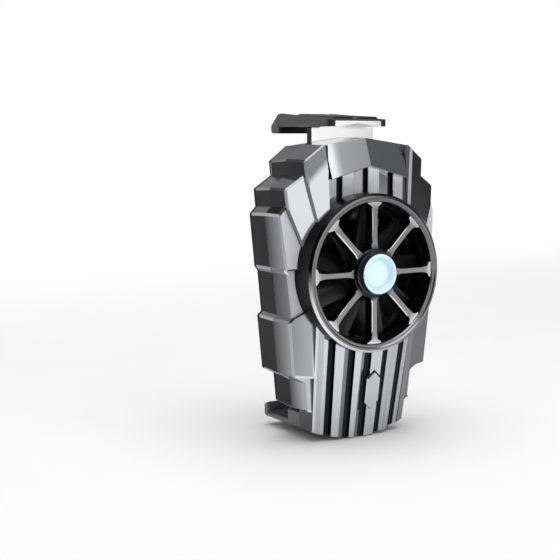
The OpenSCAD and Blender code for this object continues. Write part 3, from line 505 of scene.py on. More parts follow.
def casing_edge(edge):
    """Wide chamfers where a side meets a front facet, narrower ones elsewhere, none at the parting line."""
    middle = (edge.verts[0].co + edge.verts[1].co) / 2
    aside = abs(middle.x)
    if all(abs(v.co.y - parting_y) < parting_slack for v in edge.verts):
        return 0.0
    if math.hypot(middle.x, middle.z) < ring_clear_r:
        return 0.0
    if roof_slot_from_x < aside < roof_slot_to_x and middle.z > roof_slot_low_z:
        return 0.0
    if aside < flutes_half_w and middle.z < flutes_top_z:
        return flute_chamfer
    if aside < crown_half_w and middle.z > crown_low_z:
        return crown_chamfer
    facing = [face.normal for face in edge.link_faces]
    if any(abs(n.x) > 0.7 for n in facing) and any(n.y < -0.7 for n in facing):
        return front_chamfer
    return shoulder_chamfer


def rear_painted_light(n, c, p, chamfer):
    """Painted light and shade by facing: light grey shoulders, grey painted highlights on the chamfered
    edges, darker painted shade on the ledges, and sides painted nearly black as shade.
    """
    if chamfer:
        return 0.60
    return 0.90 if n.z > 0.3 else 0.30 if n.z < -0.3 else 0.02


rear_shell = chamfered("rear_shell", "rear_casing", casing_edge)
tone_facets(rear_shell, rear_painted_light)
rear_shade_coat = painted_light_coat("rear_painted_shade_plating", (0.0145, 0.0152, 0.0152), (0.62, 0.63, 0.65), (0.12, 0.22))
rear_shade_coat.node_tree.nodes["Principled BSDF"].inputs["Specular Tint"].default_value = (0.70, 0.70, 0.70, 1)
rear_shell.data.materials.append(rear_shade_coat)


# Soft pads: mats of black silicone glued to the back, the jaw and the hook, which keep the hard
# pieces from scratching what they grip. Each is moulded with low bars.
silicone = finish_coat("black_silicone", (0.012, 0.012, 0.013), (0.024, 0.024, 0.026), (0.55, 0.72),
                       grain=6000.0, depth=0.5)
bar_relief = 0.00025
bar_height = 1.2 * bar_relief
bar_round = 0.00018
bar_margin = 0.0008
bar_least = 0.0032
feeler_step = 0.0004
feeler_height = 0.001


def add_bar(bm, middle, length, across, out, width):
    """One bar along x whose upper edges are rounded; middle is the middle of its top."""
    shape = Matrix(((length, 0, 0), across * width, out * bar_height)).transposed().to_4x4()
    sunk = Matrix.Translation(middle - out * bar_height / 2)
    cube = bmesh.ops.create_cube(bm, size=1.0, matrix=sunk @ shape)
    edges = dict.fromkeys(edge for corner in cube["verts"] for edge in corner.link_edges)
    top_level = middle.dot(out) - 1e-6
    top = [edge for edge in edges if all(corner.co.dot(out) > top_level for corner in edge.verts)]
    bmesh.ops.bevel(bm, geom=top, offset=bar_round, offset_type="OFFSET", segments=2, profile=0.5,
                    affect="EDGES", material=-1)


def ribbed_pad(node, name, out, across, pitch, width):
    """A soft copy of a pad: its face lies lower, and rounded bars along x stand up to where the face was."""
    piece = chamfered(node, name, lambda edge: 0.00010)
    low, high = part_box(node)
    face = max(low.dot(out), high.dot(out))
    old = bmesh.new()
    old.from_mesh(frame["nodes"][node].data)
    solid = BVHTree.FromBMesh(old)
    old.free()
    bm = bmesh.new()
    bm.from_mesh(piece.data)
    for vertex in bm.verts:
        if vertex.co.dot(out) > face - bar_relief:
            vertex.co -= out * bar_relief
    reach = int((high.x - low.x) / 2 / feeler_step)
    feelers = [feeler_step * k for k in range(-reach, reach + 1)]
    row = low.dot(across) + bar_margin + width / 2
    while row < high.dot(across) - bar_margin - width / 2:
        run = []
        for x in feelers + [None]:
            held = x is not None
            for side in (-0.5, 0.5):
                spot = Vector((x or 0, 0, 0)) + across * (row + side * width) + out * (face + feeler_height)
                under = solid.ray_cast(spot, -out)[0]
                held = held and under is not None and under.dot(out) > face - 1e-5
            if held:
                run.append(x)
                continue
            if run and run[-1] - run[0] > bar_least:
                middle = Vector(((run[0] + run[-1]) / 2, 0, 0)) + across * row + out * face
                add_bar(bm, middle, run[-1] - run[0] - 2 * bar_margin, across, out, width)
            run = []
        row += pitch
    bmesh.ops.recalc_face_normals(bm, faces=bm.faces)
    bm.to_mesh(piece.data)
    bm.free()
    crisp_facets(piece.data, 50.0)
    piece.data.materials.append(silicone)


ribbed_pad("back_pad", "ribbed_back_pad", Vector((0, 1, 0)), Vector((0, 0, 1)), 0.0024, 0.0011)
ribbed_pad("jaw_pad", "ribbed_jaw_pad", Vector((0, 0, 1)), Vector((0, 1, 0)), 0.0016, 0.0009)
ribbed_pad("hook_pad", "ribbed_hook_pad", Vector((0, 0, -1)), Vector((0, 1, 0)), 0.0016, 0.0009)


# Control board: a glass-fibre board under green solder mask, staked on two posts. It carries the
# inlet's plated steel shell and the small black switch; the lamp board is made the same way.
solder_mask = finish_coat("solder_mask", (0.012, 0.085, 0.045), (0.020, 0.12, 0.065), (0.25, 0.4),
                          grain=2500.0)
dress("circuit_board", solder_mask)
dress("led_board", solder_mask)
dress("usb_socket", zinc_steel)
switch_black = finish_coat("switch_black", (0.02, 0.02, 0.02), (0.035, 0.035, 0.035), (0.4, 0.55))
dress("tact_switch", switch_black)


# Motor: a sintered brass sleeve pressed into the fan frame's tube, with four copper-wound poles
# round it. The ferrite ring and the ground steel shaft turn with the rotor.
sintered_brass = finish_coat("sintered_brass", (0.52, 0.36, 0.14), (0.66, 0.48, 0.21), (0.35, 0.5),
                             metallic=1.0)
dress("bearing_sleeve", sintered_brass)
enamel_wire = finish_coat("enamel_wire", (0.33, 0.12, 0.04), (0.50, 0.20, 0.07), (0.25, 0.4), metallic=1.0,
                          grain=6000.0, depth=0.8, stretch=(0.2, 1, 0.2))
dress("stator", enamel_wire)
ferrite = finish_coat("ferrite", (0.035, 0.035, 0.038), (0.06, 0.06, 0.065), (0.5, 0.65))
dress("magnet_ring", ferrite)
dress("rotor_shaft", zinc_steel)


# Fan: a frame moulded in black plastic and screwed to the front shell, and the nine-bladed rotor of
# the same plastic, which is pressed on the shaft.
fan_moulding = finish_coat("fan_moulding", (0.012, 0.012, 0.013), (0.022, 0.022, 0.024), (0.28, 0.42),
                           grain=4000.0)
dress("fan_frame", fan_moulding)
dress("rotor", fan_moulding)


# Front shell: the stepped armour. Six tiers of flat facets on each side, a ridged forehead, ribs
# above the ring and a fluted panel below it, moulded in one and plated bright silver in front. Its
# facets carry painted light and shade: sides painted dark, painted shade in the grooves and steps,
# painted highlights and glints along edges, and a matte copy of the silver that reads as lit grey.
front_shell = chamfered("front_shell", "front_casing", casing_edge)
brow_top = Vector((0, -0.01612, 0.03177))
brow_right = Vector((0.09, -0.935, 0.343))
brow_reach = 0.00045
brow_end_x = (0.0105, 0.01075)
brow_end_low_z = 0.0215
brow_end_mid_z = 0.0235
brow_end_front_y = -0.0170
last_rib_x = (0.0090, 0.0108)
last_rib_z = (0.0265, 0.0286)


def within(value, limits):
    """True between two limits."""
    return limits[0] < value < limits[1]


def on_brow_end(place):
    """True for the forehead's two end walls, which reach nearly to the tiers beside it."""
    high = place.z > brow_end_mid_z
    return within(abs(place.x), brow_end_x) and (
        high or place.z > brow_end_low_z and place.y < brow_end_front_y)


for vertex in front_shell.data.vertices:
    proud = (vertex.co - brow_top).dot(brow_right)
    if within(vertex.co.x, last_rib_x) and within(vertex.co.z, last_rib_z) and proud > 0:
        vertex.co.y -= proud / brow_right.y
    if on_brow_end(vertex.co):
        vertex.co.x += math.copysign(brow_reach, vertex.co.x)


flat_on = -0.97
front_on = -0.9
tier_one_x = (-0.0176, -0.0110)
right_one_x = (0.0112, 0.0176)
tier_one_low_z = 0.0122
tier_five_x = (-0.0205, -0.0136)
tier_five_z = (-0.0250, -0.0080)
tier_six_x = (-0.0195, -0.0136)
tier_six_z = (-0.0335, -0.0250)
brow_low_z = 0.0200
brow_side_x = (-0.0112, -0.0105)
panel_half_w = 0.0152
panel_back_y = -0.0120
wing_inner_x = 0.0125
# Lines on the right facet beside the forehead: left of the first the facet is painted dark as shade, and
# between the two it is painted grey as painted light.
shade_strip_lines = ((0.0113, 0.0129), (0.0124, 0.0139))
strip_low_z = 0.0150
strip_high_z = 0.0300
beside_ring_x = 0.0170
beside_ring_z = (-0.0105, 0.0140)
lit_matte_ribs_x = (-0.0110, -0.0012)
lit_matte_ribs_z = (0.0140, 0.0260)


def is_upper_facet(n, c, span_x):
    """True for a facet beside the forehead."""
    return n.y < flat_on and n.z > 0.045 and within(c.x, span_x) and c.z > tier_one_low_z


def is_tier_one(n, c):
    """True for the left facet beside the forehead."""
    return is_upper_facet(n, c, tier_one_x)


def is_right_tier_one(n, c):
    """True for the right facet beside the forehead."""
    return is_upper_facet(n, c, right_one_x)


def is_lower_facet(n, c, span_x, span_z):
    """True for a facet that leans back towards its foot."""
    return n.y < flat_on and n.z < -0.03 and within(c.x, span_x) and within(c.z, span_z)


def is_tier_five(n, c):
    """True for the large left facet beside the panel."""
    return is_lower_facet(n, c, tier_five_x, tier_five_z)


def is_tier_six(n, c):
    """True for the lowest left facet."""
    return is_lower_facet(n, c, tier_six_x, tier_six_z)


def is_brow(n, c):
    """True for the forehead's two facets."""
    return n.y < front_on and n.z > 0.3 and c.z > brow_low_z


def is_brow_side(n, c):
    """True for the forehead's left end wall."""
    return n.x < -0.9 and within(c.x, brow_side_x) and c.z > brow_end_low_z


def on_panel(n, c):
    """True for the fluted panel below the ring."""
    return c.z < flutes_top_z and abs(c.x) < panel_half_w and c.y < panel_back_y and n.z < 0.1


def is_wing(n, c):
    """True for the panel's left border."""
    return on_panel(n, c) and n.x < -0.18 and n.y < front_on and c.x < -wing_inner_x


def right_of(line, c):
    """How far right of one of the painted strip lines on the right facet beside the forehead a place is; a
    line is given by its low and its high x.
    """
    return c.x - line[0] - (line[1] - line[0]) * (c.z - strip_low_z) / (strip_high_z - strip_low_z)


def is_lit_matte(n, c):
    """True for the facets given a matte, non-metal copy of the silver as painted light, so that they read
    lit grey: beside the ring, a strip beside the forehead's right end, some upper ribs.
    """
    if n.y < -0.95 and abs(c.x) > beside_ring_x and within(c.z, beside_ring_z):
        return True
    if is_right_tier_one(n, c):
        return right_of(shade_strip_lines[1], c) < 0
    return n.y < front_on and n.x > 0.05 and within(c.x, lit_matte_ribs_x) and within(c.z, lit_matte_ribs_z)


def split_facets(piece, wanted, point, across):
    """Cuts the wanted facets along a plane, so that their tone can change there."""
    bm = bmesh.new()
    bm.from_mesh(piece.data)
    bm.normal_update()
    facets = [f for f in bm.faces if wanted(f.normal, f.calc_center_median())]
    lines = dict.fromkeys(e for f in facets for e in f.edges)
    points = dict.fromkeys(v for f in facets for v in f.verts)
    bmesh.ops.bisect_plane(bm, geom=[*facets, *lines, *points], dist=1e-7, plane_co=point, plane_no=across)
    bm.to_mesh(piece.data)
    bm.free()


# Planes that split facets so that the painted light can change there: a painted glint along the panel's left
# border and a strip of painted shade on tier five beside it, bright painted-highlight hems along the lower
# edges of tiers five and six, painted shade on tier one beside the forehead, a painted glint across tier
# one, steps of a painted reflection that fades across the left forehead, and margins of painted shade beside
# the grooves on the right.
wing_edge = Vector((-0.01476, 0, -0.01190))
wing_across = Vector((0.9987, 0, 0.0519))
wing_glint = 0.00055
wing_shade_width = 0.00035
hem_height = 0.0005
hem_five_up = Vector((0.1311, 0, 0.9914))
hem_five = Vector((-0.01905, 0, -0.02392)) + hem_five_up * hem_height
hem_six_up = Vector((0.383, 0, 0.923))
hem_six = Vector((-0.01486, 0, -0.03266)) + hem_six_up * hem_height
tier_one_shade_line = Vector((-0.01195, 0, 0.03015))
tier_one_shade_across = Vector((0.9945, 0, 0.1051))
glint = Vector((-0.01159, 0, 0.02623))
glint_up = Vector((-0.690, 0, 0.723))
glint_half = 0.0007
brow_tones = ((-0.0120, 1.0), (-0.0098, 0.95), (-0.0086, 0.55), (-0.0076, 0.38), (0.0, 0.30))
groove_margin = 0.00045
grooves_right_x = (0.0050, 0.0120)
groove_wall_area = 15e-6

split_facets(front_shell, is_wing, wing_edge + wing_across * wing_glint, wing_across)
split_facets(front_shell, is_tier_five, wing_edge - wing_across * wing_shade_width, wing_across)
split_facets(front_shell, is_tier_five, hem_five, hem_five_up)
split_facets(front_shell, is_tier_six, hem_six, hem_six_up)
for low_x, high_x in shade_strip_lines:
    split_facets(front_shell, is_right_tier_one, Vector((low_x, 0, strip_low_z)),
                 Vector((strip_high_z - strip_low_z, 0, low_x - high_x)).normalized())
split_facets(front_shell, is_tier_one, tier_one_shade_line, tier_one_shade_across)
for offset in (-glint_half, glint_half):
    split_facets(front_shell, is_tier_one, glint + glint_up * offset, glint_up)
for brow_x, _ in brow_tones[1:-1]:
    split_facets(front_shell, lambda n, c: is_brow(n, c) and c.x < 0,
                 Vector((brow_x, 0, 0)), Vector((1, 0, 0)))
groove_walls = [(face.center.copy(), face.normal.copy()) for face in front_shell.data.polygons
                if on_panel(face.normal, face.center) and abs(face.normal.x) > 0.98
                and within(face.center.x, grooves_right_x) and face.area > groove_wall_area]
for wall, wall_out in groove_walls:
    split_facets(front_shell, lambda n, c: on_panel(n, c) and n.y < front_on,
                 wall - wall_out * groove_margin, wall_out)


def between(value, stops):
    """The tone at a value, taken along straight lines between the stops."""
    for (low, low_tone), (high, high_tone) in zip(stops, stops[1:]):
        if value <= high:
            return low_tone + (high_tone - low_tone) * max(0.0, (value - low) / (high - low))
    return stops[-1][1]


# The panel's ribs are painted bright near the middle and dim to the right as painted shade; the outermost
# groove walls are painted a little lighter than the rest.
outer_groove_x = 0.0113
key_right_x = 0.0007
rib_tones = ((-0.0010, 0.92), (0.0090, 0.60))


def panel_painted_light(n, c):
    """Painted light and shade on the panel: black painted shade on the groove walls and margins, grey
    painted shade on the right-facing bevels left of the grooves and on the right border, a painted glint
    along the left border, and ribs painted bright that dim to the right as painted shade.
    """
    if abs(n.x) > 0.8:
        return 0.0 if abs(c.x) < outer_groove_x else 0.10
    if is_wing(n, c):
        return 1.0 if (c - wing_edge).dot(wing_across) < wing_glint else 0.68
    if n.x > 0.18 and c.x > wing_inner_x:
        return 0.30
    if any(0 < (wall - c).dot(wall_out) < groove_margin for wall, wall_out in groove_walls):
        return 0.0
    if n.x > 0.2 and c.x < key_right_x:
        return 0.28
    return between(c.x, rib_tones)


low_ledges_z = -0.0150
waist_ledge_z = (0.0, 0.0030)
hip_ledge_z = (-0.0105, -0.0085)


def chamfer_painted_light(n, c):
    """Painted highlights on the chamfers under the front ledges and darker grey under the others, black
    painted shade on the ledge below the ring, and grey along the corners.
    """
    if n.z < -0.2:
        return 1.0 if n.y < -0.4 and (c.z < low_ledges_z or within(c.z, waist_ledge_z)) else 0.20
    if n.z > 0.35:
        return 0.0 if n.y < -0.5 and within(c.z, hip_ledge_z) else 0.28
    return 0.55


upper_sides_z = 0.0150
waist_z = (-0.0105, 0.0015)
foot_top_z = -0.0240
side_depth = 0.0062


def side_painted_shade(c, p):
    """Painted shade on the sides: black high up; below that dark at the parting line and greyer towards the
    front.
    """
    if c.z > upper_sides_z:
        return 0.0
    front = 0.24 if within(c.z, waist_z) else 0.57 if c.z < foot_top_z else 0.39
    return between(parting_y - p.y, ((0.0, 0.07), (side_depth, front)))


# Painted light ramps: a painted glint across tier one, and tier five painted darker towards its left edge.
# right_low_x and right_low_z bound the lower right front facets, which are painted dark as shade.
tier_one_tones = ((-glint_half, 0.88), (glint_half, 0.27))
tier_five_tones = ((-0.0205, 0.36), (-0.0155, 0.58), (0.0, 0.58))
ribs_half_w = 0.0114
last_rib_right_x = 0.0104
first_gap_x = -0.0106
first_gap_y = -0.0175
proud_walls_y = -0.0135
right_low_x = 0.0130
right_low_z = 0.0016


def front_painted_light(n, c, p, chamfer):
    """Painted light and shade: black painted shade in the grooves and along the steps, dark to grey painted
    shade on the sides and undersides, grey roofs, painted glints and highlights along some edges, and bright
    on what faces forward.
    """
    sideways = abs(n.x) > 0.8
    if on_panel(n, c):
        return panel_painted_light(n, c)
    if is_brow(n, c):
        return between(p.x, brow_tones) if c.x < 0 else 0.9
    # The forehead's left end wall is painted black as shade.
    if is_brow_side(n, c):
        return 0.0
    if is_tier_one(n, c):
        if (c - tier_one_shade_line).dot(tier_one_shade_across) > 0:
            return 0.0
        return between((p - glint).dot(glint_up), tier_one_tones)
    if is_right_tier_one(n, c):
        return 0.10 if right_of(shade_strip_lines[0], c) < 0 else 0.55 if right_of(shade_strip_lines[1], c) < 0 else 1.0
    if is_lit_matte(n, c):
        return 0.85
    # Among the upper ribs, the side walls and the first gap are painted black as shade, and the last rib
    # dimmer.
    if c.z > crown_low_z and abs(c.x) < ribs_half_w:
        if c.x > last_rib_right_x:
            return 0.6
        if sideways or (c.x < first_gap_x and c.y > first_gap_y and n.y < -0.7):
            return 0.0
    if chamfer:
        return chamfer_painted_light(n, c)
    if sideways and c.y < proud_walls_y:
        return 0.30
    if abs(n.x) > 0.75:
        return side_painted_shade(c, p)
    if n.z > 0.45:
        return 0.55
    if n.z < -0.5:
        return 0.25
    if is_tier_five(n, c):
        if (c - wing_edge).dot(wing_across) > -wing_shade_width:
            return 0.0
        return 1.0 if (c - hem_five).dot(hem_five_up) < 0 else between(p.x, tier_five_tones)
    if n.y < front_on and c.x > right_low_x and c.z < right_low_z:
        return 0.22
    if is_tier_six(n, c):
        return 1.0 if (c - hem_six).dot(hem_six_up) < 0 else 0.75
    return 0.88


tone_facets(front_shell, front_painted_light)
# The dark end of this coat carries the painted shade; its bright end is the silver.
silver = painted_light_coat("silver_plating", (0.0150, 0.0158, 0.0166), (0.70, 0.735, 0.755), (0.08, 0.15))
front_shell.data.materials.append(silver)
# A matte, non-metal copy of the silver, put on some facets as painted light so that they read lit grey.
lit_matte_silver = painted_light_coat("lit_matte_silver", (0.010, 0.011, 0.011), (0.80, 0.83, 0.85), (0.45, 0.60),
                           metallic=0.0)
front_shell.data.materials.append(lit_matte_silver)
for face in front_shell.data.polygons:
    face.material_index = 1 if is_lit_matte(face.normal, face.center) else 0


# Ring bezel: a turned ring of piano-black plastic pushed into the front shell. Its front rim is
# plated dark grey, and the rim's outer lip is dark but for a painted highlight towards the lower left.
axis_radius = bpy.data.node_groups.new("axis_radius", "ShaderNodeTree")
add_socket(axis_radius, "Radius", "Float")
radius_out = axis_radius.nodes.new("NodeGroupOutput")
radius_place = axis_radius.nodes.new("ShaderNodeTexCoord")
radius_flat = axis_radius.nodes.new("ShaderNodeVectorMath")
radius_flat.operation = "MULTIPLY"
radius_flat.inputs[1].default_value = (1, 0, 1)
radius_length = axis_radius.nodes.new("ShaderNodeVectorMath")
radius_length.operation = "LENGTH"
axis_radius.links.new(radius_place.outputs["Object"], radius_flat.inputs[0])
axis_radius.links.new(radius_flat.outputs["Vector"], radius_length.inputs[0])
axis_radius.links.new(radius_length.outputs["Value"], radius_out.inputs["Radius"])


def radius_in(tree):
    """How far a place is from the fan's axis."""
    node = tree.nodes.new("ShaderNodeGroup")
    node.node_tree = axis_radius
    return node.outputs["Radius"]


rim_back_y = -0.0201
rim_front_y = -0.0203
lip_from_r = 0.01825
lip_to_r = 0.01840
shine_from = 0.0070
shine_to = 0.0175
lower_left = (-0.5, 0, -0.866)
bezel_black = finish_coat("bezel_black", (0.004, 0.004, 0.005), (0.008, 0.008, 0.009), (0.22, 0.34),
                          depth=0.03)
tree = bezel_black.node_tree
bezel_shader = tree.nodes["Principled BSDF"]
bezel_shader.inputs["Specular IOR Level"].default_value = 0.08
bezel_place = tree.nodes.new("ShaderNodeTexCoord")
bezel_axes = tree.nodes.new("ShaderNodeSeparateXYZ")
tree.links.new(bezel_place.outputs["Object"], bezel_axes.inputs["Vector"])
rim_mask = rising(tree, bezel_axes.outputs["Y"], rim_back_y, rim_front_y)
rim_low = tree.nodes.new("ShaderNodeVectorMath")
rim_low.operation = "DOT_PRODUCT"
rim_low.inputs[1].default_value = lower_left
tree.links.new(bezel_place.outputs["Object"], rim_low.inputs[0])
# The outer lip is painted bright towards the lower left: a painted highlight.
lip_highlight_share = rising(tree, rim_low.outputs["Value"], shine_from, shine_to, smooth=True)
lip_highlight = mixed(tree, lip_highlight_share, (0.010, 0.010, 0.011), (0.86, 0.87, 0.88))
rim_outer = rising(tree, radius_in(tree), lip_from_r, lip_to_r)
rim_plating_and_highlight = mixed(tree, rim_outer, (0.21, 0.215, 0.22), lip_highlight)
rim_tone = mixed(tree, rim_mask, tree.nodes["tone"].outputs["Result"], rim_plating_and_highlight)
tree.links.new(rim_tone, bezel_shader.inputs["Base Color"])
tree.links.new(rim_mask, bezel_shader.inputs["Metallic"])
rim_gloss = tree.nodes.new("ShaderNodeMix")
rim_gloss.inputs["B"].default_value = 0.22
tree.links.new(rim_mask, rim_gloss.inputs["Factor"])
tree.links.new(tree.nodes["gloss"].outputs["Result"], rim_gloss.inputs["A"])
tree.links.new(rim_gloss.outputs["Result"], bezel_shader.inputs["Roughness"])
dress("fan_bezel", bezel_black)


# Guard: a chromed spider of eight vanes, flared at both ends, round a dark boss. It rests on the
# bezel's ledge. Its lower edges carry painted highlights, the vanes' sides painted shade, and the vanes
# are painted brighter towards their feet.
vane_count = 8
boss_r = 0.0066
vane_root_r = 0.0068
vane_foot_r = 0.0152
vane_end_r = 0.0160
foot_fade = 0.0015
vane_widening = 0.0002
vane_half = 0.00074
vane_flare = 0.3
vane_chamfer = 0.00014
low_edge_chamfer = 0.00026


def vane_edge(edge):
    """Wider chamfers on the edges that look down."""
    looks_down = sum(face.normal.z for face in edge.link_faces) < -0.2
    return low_edge_chamfer if looks_down else vane_chamfer


def guard_painted_light(n, c, p, chamfer):
    """Painted light and shade: grey vanes painted brighter towards their feet, painted highlights on the
    lower edges, painted shade on the vanes' sides, and a black boss.
    """
    r = math.hypot(p.x, p.z)
    if math.hypot(c.x, c.z) < boss_r and r < boss_r:
        return 0.02
    if chamfer:
        return 1.0 if n.z < 0.1 else 0.35
    if n.y > -0.5:
        return 0.14
    return between(r, ((vane_foot_r, 0.30), (vane_foot_r + foot_fade, 0.80)))


guard = chamfered("guard_spider", "guard_vanes", vane_edge, crease=20.0)
for vertex in guard.data.vertices:
    sector = 2 * math.pi / vane_count
    vane = round(math.atan2(vertex.co.z, vertex.co.x) / sector) * sector
    aside = Vector((-math.sin(vane), 0, math.cos(vane)))
    offset = vertex.co.dot(aside)
    if vane_root_r < math.hypot(vertex.co.x, vertex.co.z) < vane_end_r:
        half = abs(offset) + vane_widening
        if half > vane_half:
            half = vane_half + vane_flare * (half - vane_half)
        vertex.co += aside * (math.copysign(half, offset) - offset)
tone_facets(guard, guard_painted_light)
guard_chrome = painted_light_coat("guard_chrome", (0.02, 0.02, 0.022), (0.88, 0.90, 0.92), (0.10, 0.20))
guard.data.materials.append(guard_chrome)


# Hub lens: a dished, frosted cap over four lamps, pressed into the guard's boss and lit pale blue.
# The disc in the dish glows most and the dish's wall less; a brighter ring of glow at the dish's rim is a
# painted highlight, and the barrel round it is painted dark.
lens_r = 0.0051
barrel_from = 0.925
barrel_to = 0.937
lens_glow_and_highlight_stops = (
    (0.0, (0.80, 0.97, 1.0, 1)),
    (0.50, (0.66, 0.90, 1.0, 1)),
    (0.57, (0.62, 0.88, 1.0, 1)),
    (0.62, (0.16, 0.30, 0.38, 1)),
    (0.78, (0.20, 0.36, 0.44, 1)),
    # A painted highlight on the dish's rim, given as a brighter ring of glow.
    (0.86, (0.70, 0.90, 0.98, 1)),
    (0.92, (0.62, 0.84, 0.95, 1)),
    (0.935, (0.01, 0.015, 0.02, 1)),
    (1.0, (0.01, 0.015, 0.02, 1)),
)
lens_frost = finish_coat("lens_frost", (0.58, 0.74, 0.82), (0.68, 0.82, 0.88), (0.16, 0.28), depth=0.05)
tree = lens_frost.node_tree
lens_shader = tree.nodes["Principled BSDF"]
lens_share = rising(tree, radius_in(tree), 0.0, lens_r)
lens_glow_and_highlight = tree.nodes.new("ShaderNodeValToRGB")
lens_ramp_elements = lens_glow_and_highlight.color_ramp.elements
lens_ramp_elements[0].position, lens_ramp_elements[0].color = lens_glow_and_highlight_stops[0]
lens_ramp_elements[1].position, lens_ramp_elements[1].color = lens_glow_and_highlight_stops[-1]
for position, stop_colour in lens_glow_and_highlight_stops[1:-1]:
    lens_ramp_elements.new(position).color = stop_colour
tree.links.new(lens_share, lens_glow_and_highlight.inputs["Fac"])
tree.links.new(lens_glow_and_highlight.outputs["Color"], lens_shader.inputs["Emission Color"])
lens_shader.inputs["Emission Strength"].default_value = 0.36
lens_barrel = rising(tree, lens_share, barrel_from, barrel_to)
lens_paint = mixed(tree, lens_barrel, tree.nodes["tone"].outputs["Result"], (0.012, 0.016, 0.020))
tree.links.new(lens_paint, lens_shader.inputs["Base Color"])
dress("hub_lens", lens_frost)


# Groove inlays: thin near-black strips on the floors of the grooves above and below the ring, a dark
# sheet put there as painted shade for the dark inside the grooves.
groove_navy = finish_coat("groove_navy", (0.008, 0.011, 0.014), (0.014, 0.019, 0.024), (0.35, 0.5))
groove_navy.node_tree.nodes["Principled BSDF"].inputs["Specular IOR Level"].default_value = 0.15
dress("upper_inlays", groove_navy)
dress("lower_inlays", groove_navy)


# Power button: a six-sided key, moulded and plated like the shell, that stands a little proud of the
# fluted panel and presses the switch behind it.
key_chamfer = 0.00014
slant_chamfer = 0.00036
slant_share = 0.4


def key_edge(edge):
    """Wider chamfers along the slanting edges."""
    run = edge.verts[1].co - edge.verts[0].co
    slanting = min(abs(run.x), abs(run.z)) > slant_share * run.length
    return slant_chamfer if slanting else key_chamfer


button = chamfered("power_button", "power_key", key_edge)
# The key's facets carry painted light: its face a little dimmed, painted shade on the upper chamfers and
# painted highlights on the others.
tone_facets(button, lambda n, c, p, chamfer: 0.76 if not chamfer else 0.28 if n.z > 0.2 else 1.0)
button.data.materials.append(silver)


# Sliding arm: a bright chromed plate with a bent tab that the thumb pulls up. It runs on two rods,
# which go through the yoke at its foot.
arm = chamfered("clip_arm", "sliding_arm", lambda edge: 0.00014)
tab_from_y = -0.0095
tab_reach = 0.0017


def reach_forward(piece):
    """Draws the front end of the tab, or of the rubber round it, a little further out."""
    for vertex in piece.data.vertices:
        if vertex.co.y < tab_from_y:
            vertex.co.y -= tab_reach


reach_forward(arm)
# Painted shade on the arm: its sides black and its underside dark, the rest bright chrome.
tone_facets(arm, lambda n, c, p, chamfer: 0.0 if abs(n.x) > 0.7 else 0.12 if n.z < -0.3 else 1.0)
arm_chrome = painted_light_coat("arm_chrome", (0.015, 0.015, 0.015), (0.98, 0.985, 0.99), (0.14, 0.22))
arm.data.materials.append(arm_chrome)


# Return springs: two coils of bright steel wire round the rods. Each top end bears on the case and
# each foot stands on the arm's yoke; on the cooler the coils shorten as the arm is pulled up, but here
# each is built at one length and does not move with the arm.
spring_steel = finish_coat("spring_steel", (0.40, 0.40, 0.42), (0.55, 0.55, 0.57), (0.2, 0.3), metallic=1.0)
coil_r = 0.00155
coil_turns = 11
steps_per_turn = 20
wire_sides = 10


def return_spring(node, name):
    """A round wire spun up round the rod, in the place of the solid spring."""
    low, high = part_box(node)
    middle = (low + high) / 2
    wire_r = (high.x - low.x) / 2 - coil_r
    steps = coil_turns * steps_per_turn
    foot = Matrix.Translation((middle.x + coil_r, middle.y, low.z + wire_r))
    bm = bmesh.new()
    bmesh.ops.create_circle(bm, segments=wire_sides, radius=wire_r,
                            matrix=foot @ Matrix.Rotation(math.pi / 2, 4, "X"))
    bmesh.ops.spin(
        bm,
        geom=bm.verts[:] + bm.edges[:],
        cent=(middle.x, middle.y, 0),
        axis=(0, 0, 1),
        dvec=(0, 0, (high.z - low.z - 2 * wire_r) / steps),
        angle=2 * math.pi * coil_turns,
        steps=steps,
    )
    bmesh.ops.holes_fill(bm, edges=[edge for edge in bm.edges if edge.is_boundary], sides=wire_sides)
    bmesh.ops.recalc_face_normals(bm, faces=bm.faces)
    mesh = bpy.data.meshes.new(name)
    bm.to_mesh(mesh)
    bm.free()
    mesh.materials.append(spring_steel)
    crisp_facets(mesh, 50.0)
    spring = bpy.data.objects.new(name, mesh)
    bpy.context.scene.collection.objects.link(spring)
    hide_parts(node)
    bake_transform(spring)


return_spring("left_spring", "left_return_spring")
return_spring("right_spring", "right_return_spring")


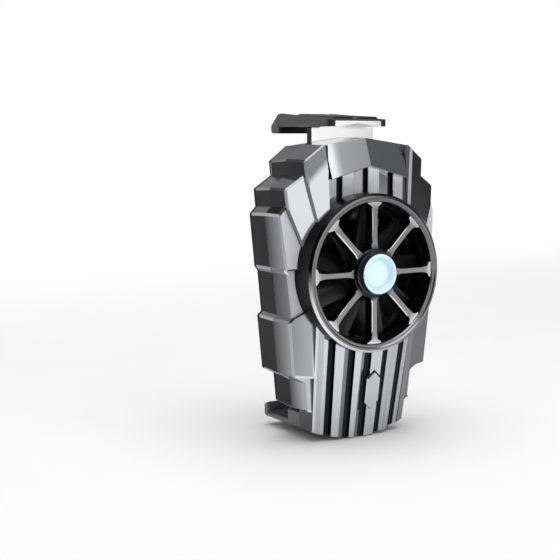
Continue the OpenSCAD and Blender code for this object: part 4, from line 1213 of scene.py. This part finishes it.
# Hook cap: soft dark grey rubber moulded over the arm's top, with two shallow hollows in its rear
# top edge and a toe that turns down behind.
cap = chamfered("hook_cap", "rubber_cap", lambda edge: 0.00030, segments=3, crease=40.0)
reach_forward(cap)
hollow_x = 0.0048
hollow_half = 0.0027
hollow_depth = 0.0008
hollow_cuts = 4
hollow_front_y = -0.004
hollow_run = 0.008
cap_skin = 0.0005
cap_ridge_y = 0.0085
cap_ridge_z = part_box("hook_cap")[1].z
cap_slope = 0.09
bm = bmesh.new()
bm.from_mesh(cap.data)
for side in (-1, 1):
    for cut in range(-hollow_cuts, hollow_cuts + 1):
        cut_x = side * (hollow_x + hollow_half * cut / hollow_cuts)
        bmesh.ops.bisect_plane(bm, geom=[*bm.faces, *bm.edges, *bm.verts], dist=1e-7,
                               plane_co=(cut_x, 0, 0), plane_no=(1, 0, 0))
for vertex in bm.verts:
    top_z = cap_ridge_z - cap_slope * max(0.0, cap_ridge_y - vertex.co.y)
    across = abs(abs(vertex.co.x) - hollow_x) / hollow_half
    if across < 1 and vertex.co.z > top_z - cap_skin:
        along = min(1.0, max(0.0, (vertex.co.y - hollow_front_y) / hollow_run))
        vertex.co.z -= hollow_depth * math.cos(across * math.pi / 2) ** 2 * along
bm.to_mesh(cap.data)
bm.free()


def cap_painted_shade(n, c, p, chamfer):
    """Painted shade by facing: black at the front, darker on top, grey at the sides."""
    if n.y < -0.30:
        return 0.0
    return 0.45 if n.z > 0.6 else 0.95


tone_facets(cap, cap_painted_shade)
cap_rubber = painted_light_coat("cap_rubber", (0.004, 0.004, 0.004), (0.088, 0.088, 0.090), (0.5, 0.65),
                         metallic=0.0, grain=4500.0, depth=0.4)
cap.data.materials.append(cap_rubber)


# Lower jaw: a plastic moulding screwed under the rear shell, whose lip turns up against the hook's
# pull. It is coloured a dark satin grey, which is painted shade on what is the shell's own silver.
jaw = chamfered("lower_jaw", "jaw_moulding", lambda edge: 0.00030, segments=2, crease=50.0)
jaw_shade_grey = finish_coat("jaw_shade_grey", (0.105, 0.11, 0.12), (0.135, 0.14, 0.152), (0.32, 0.46),
                        grain=3500.0, depth=0.15)
jaw.data.materials.append(jaw_shade_grey)
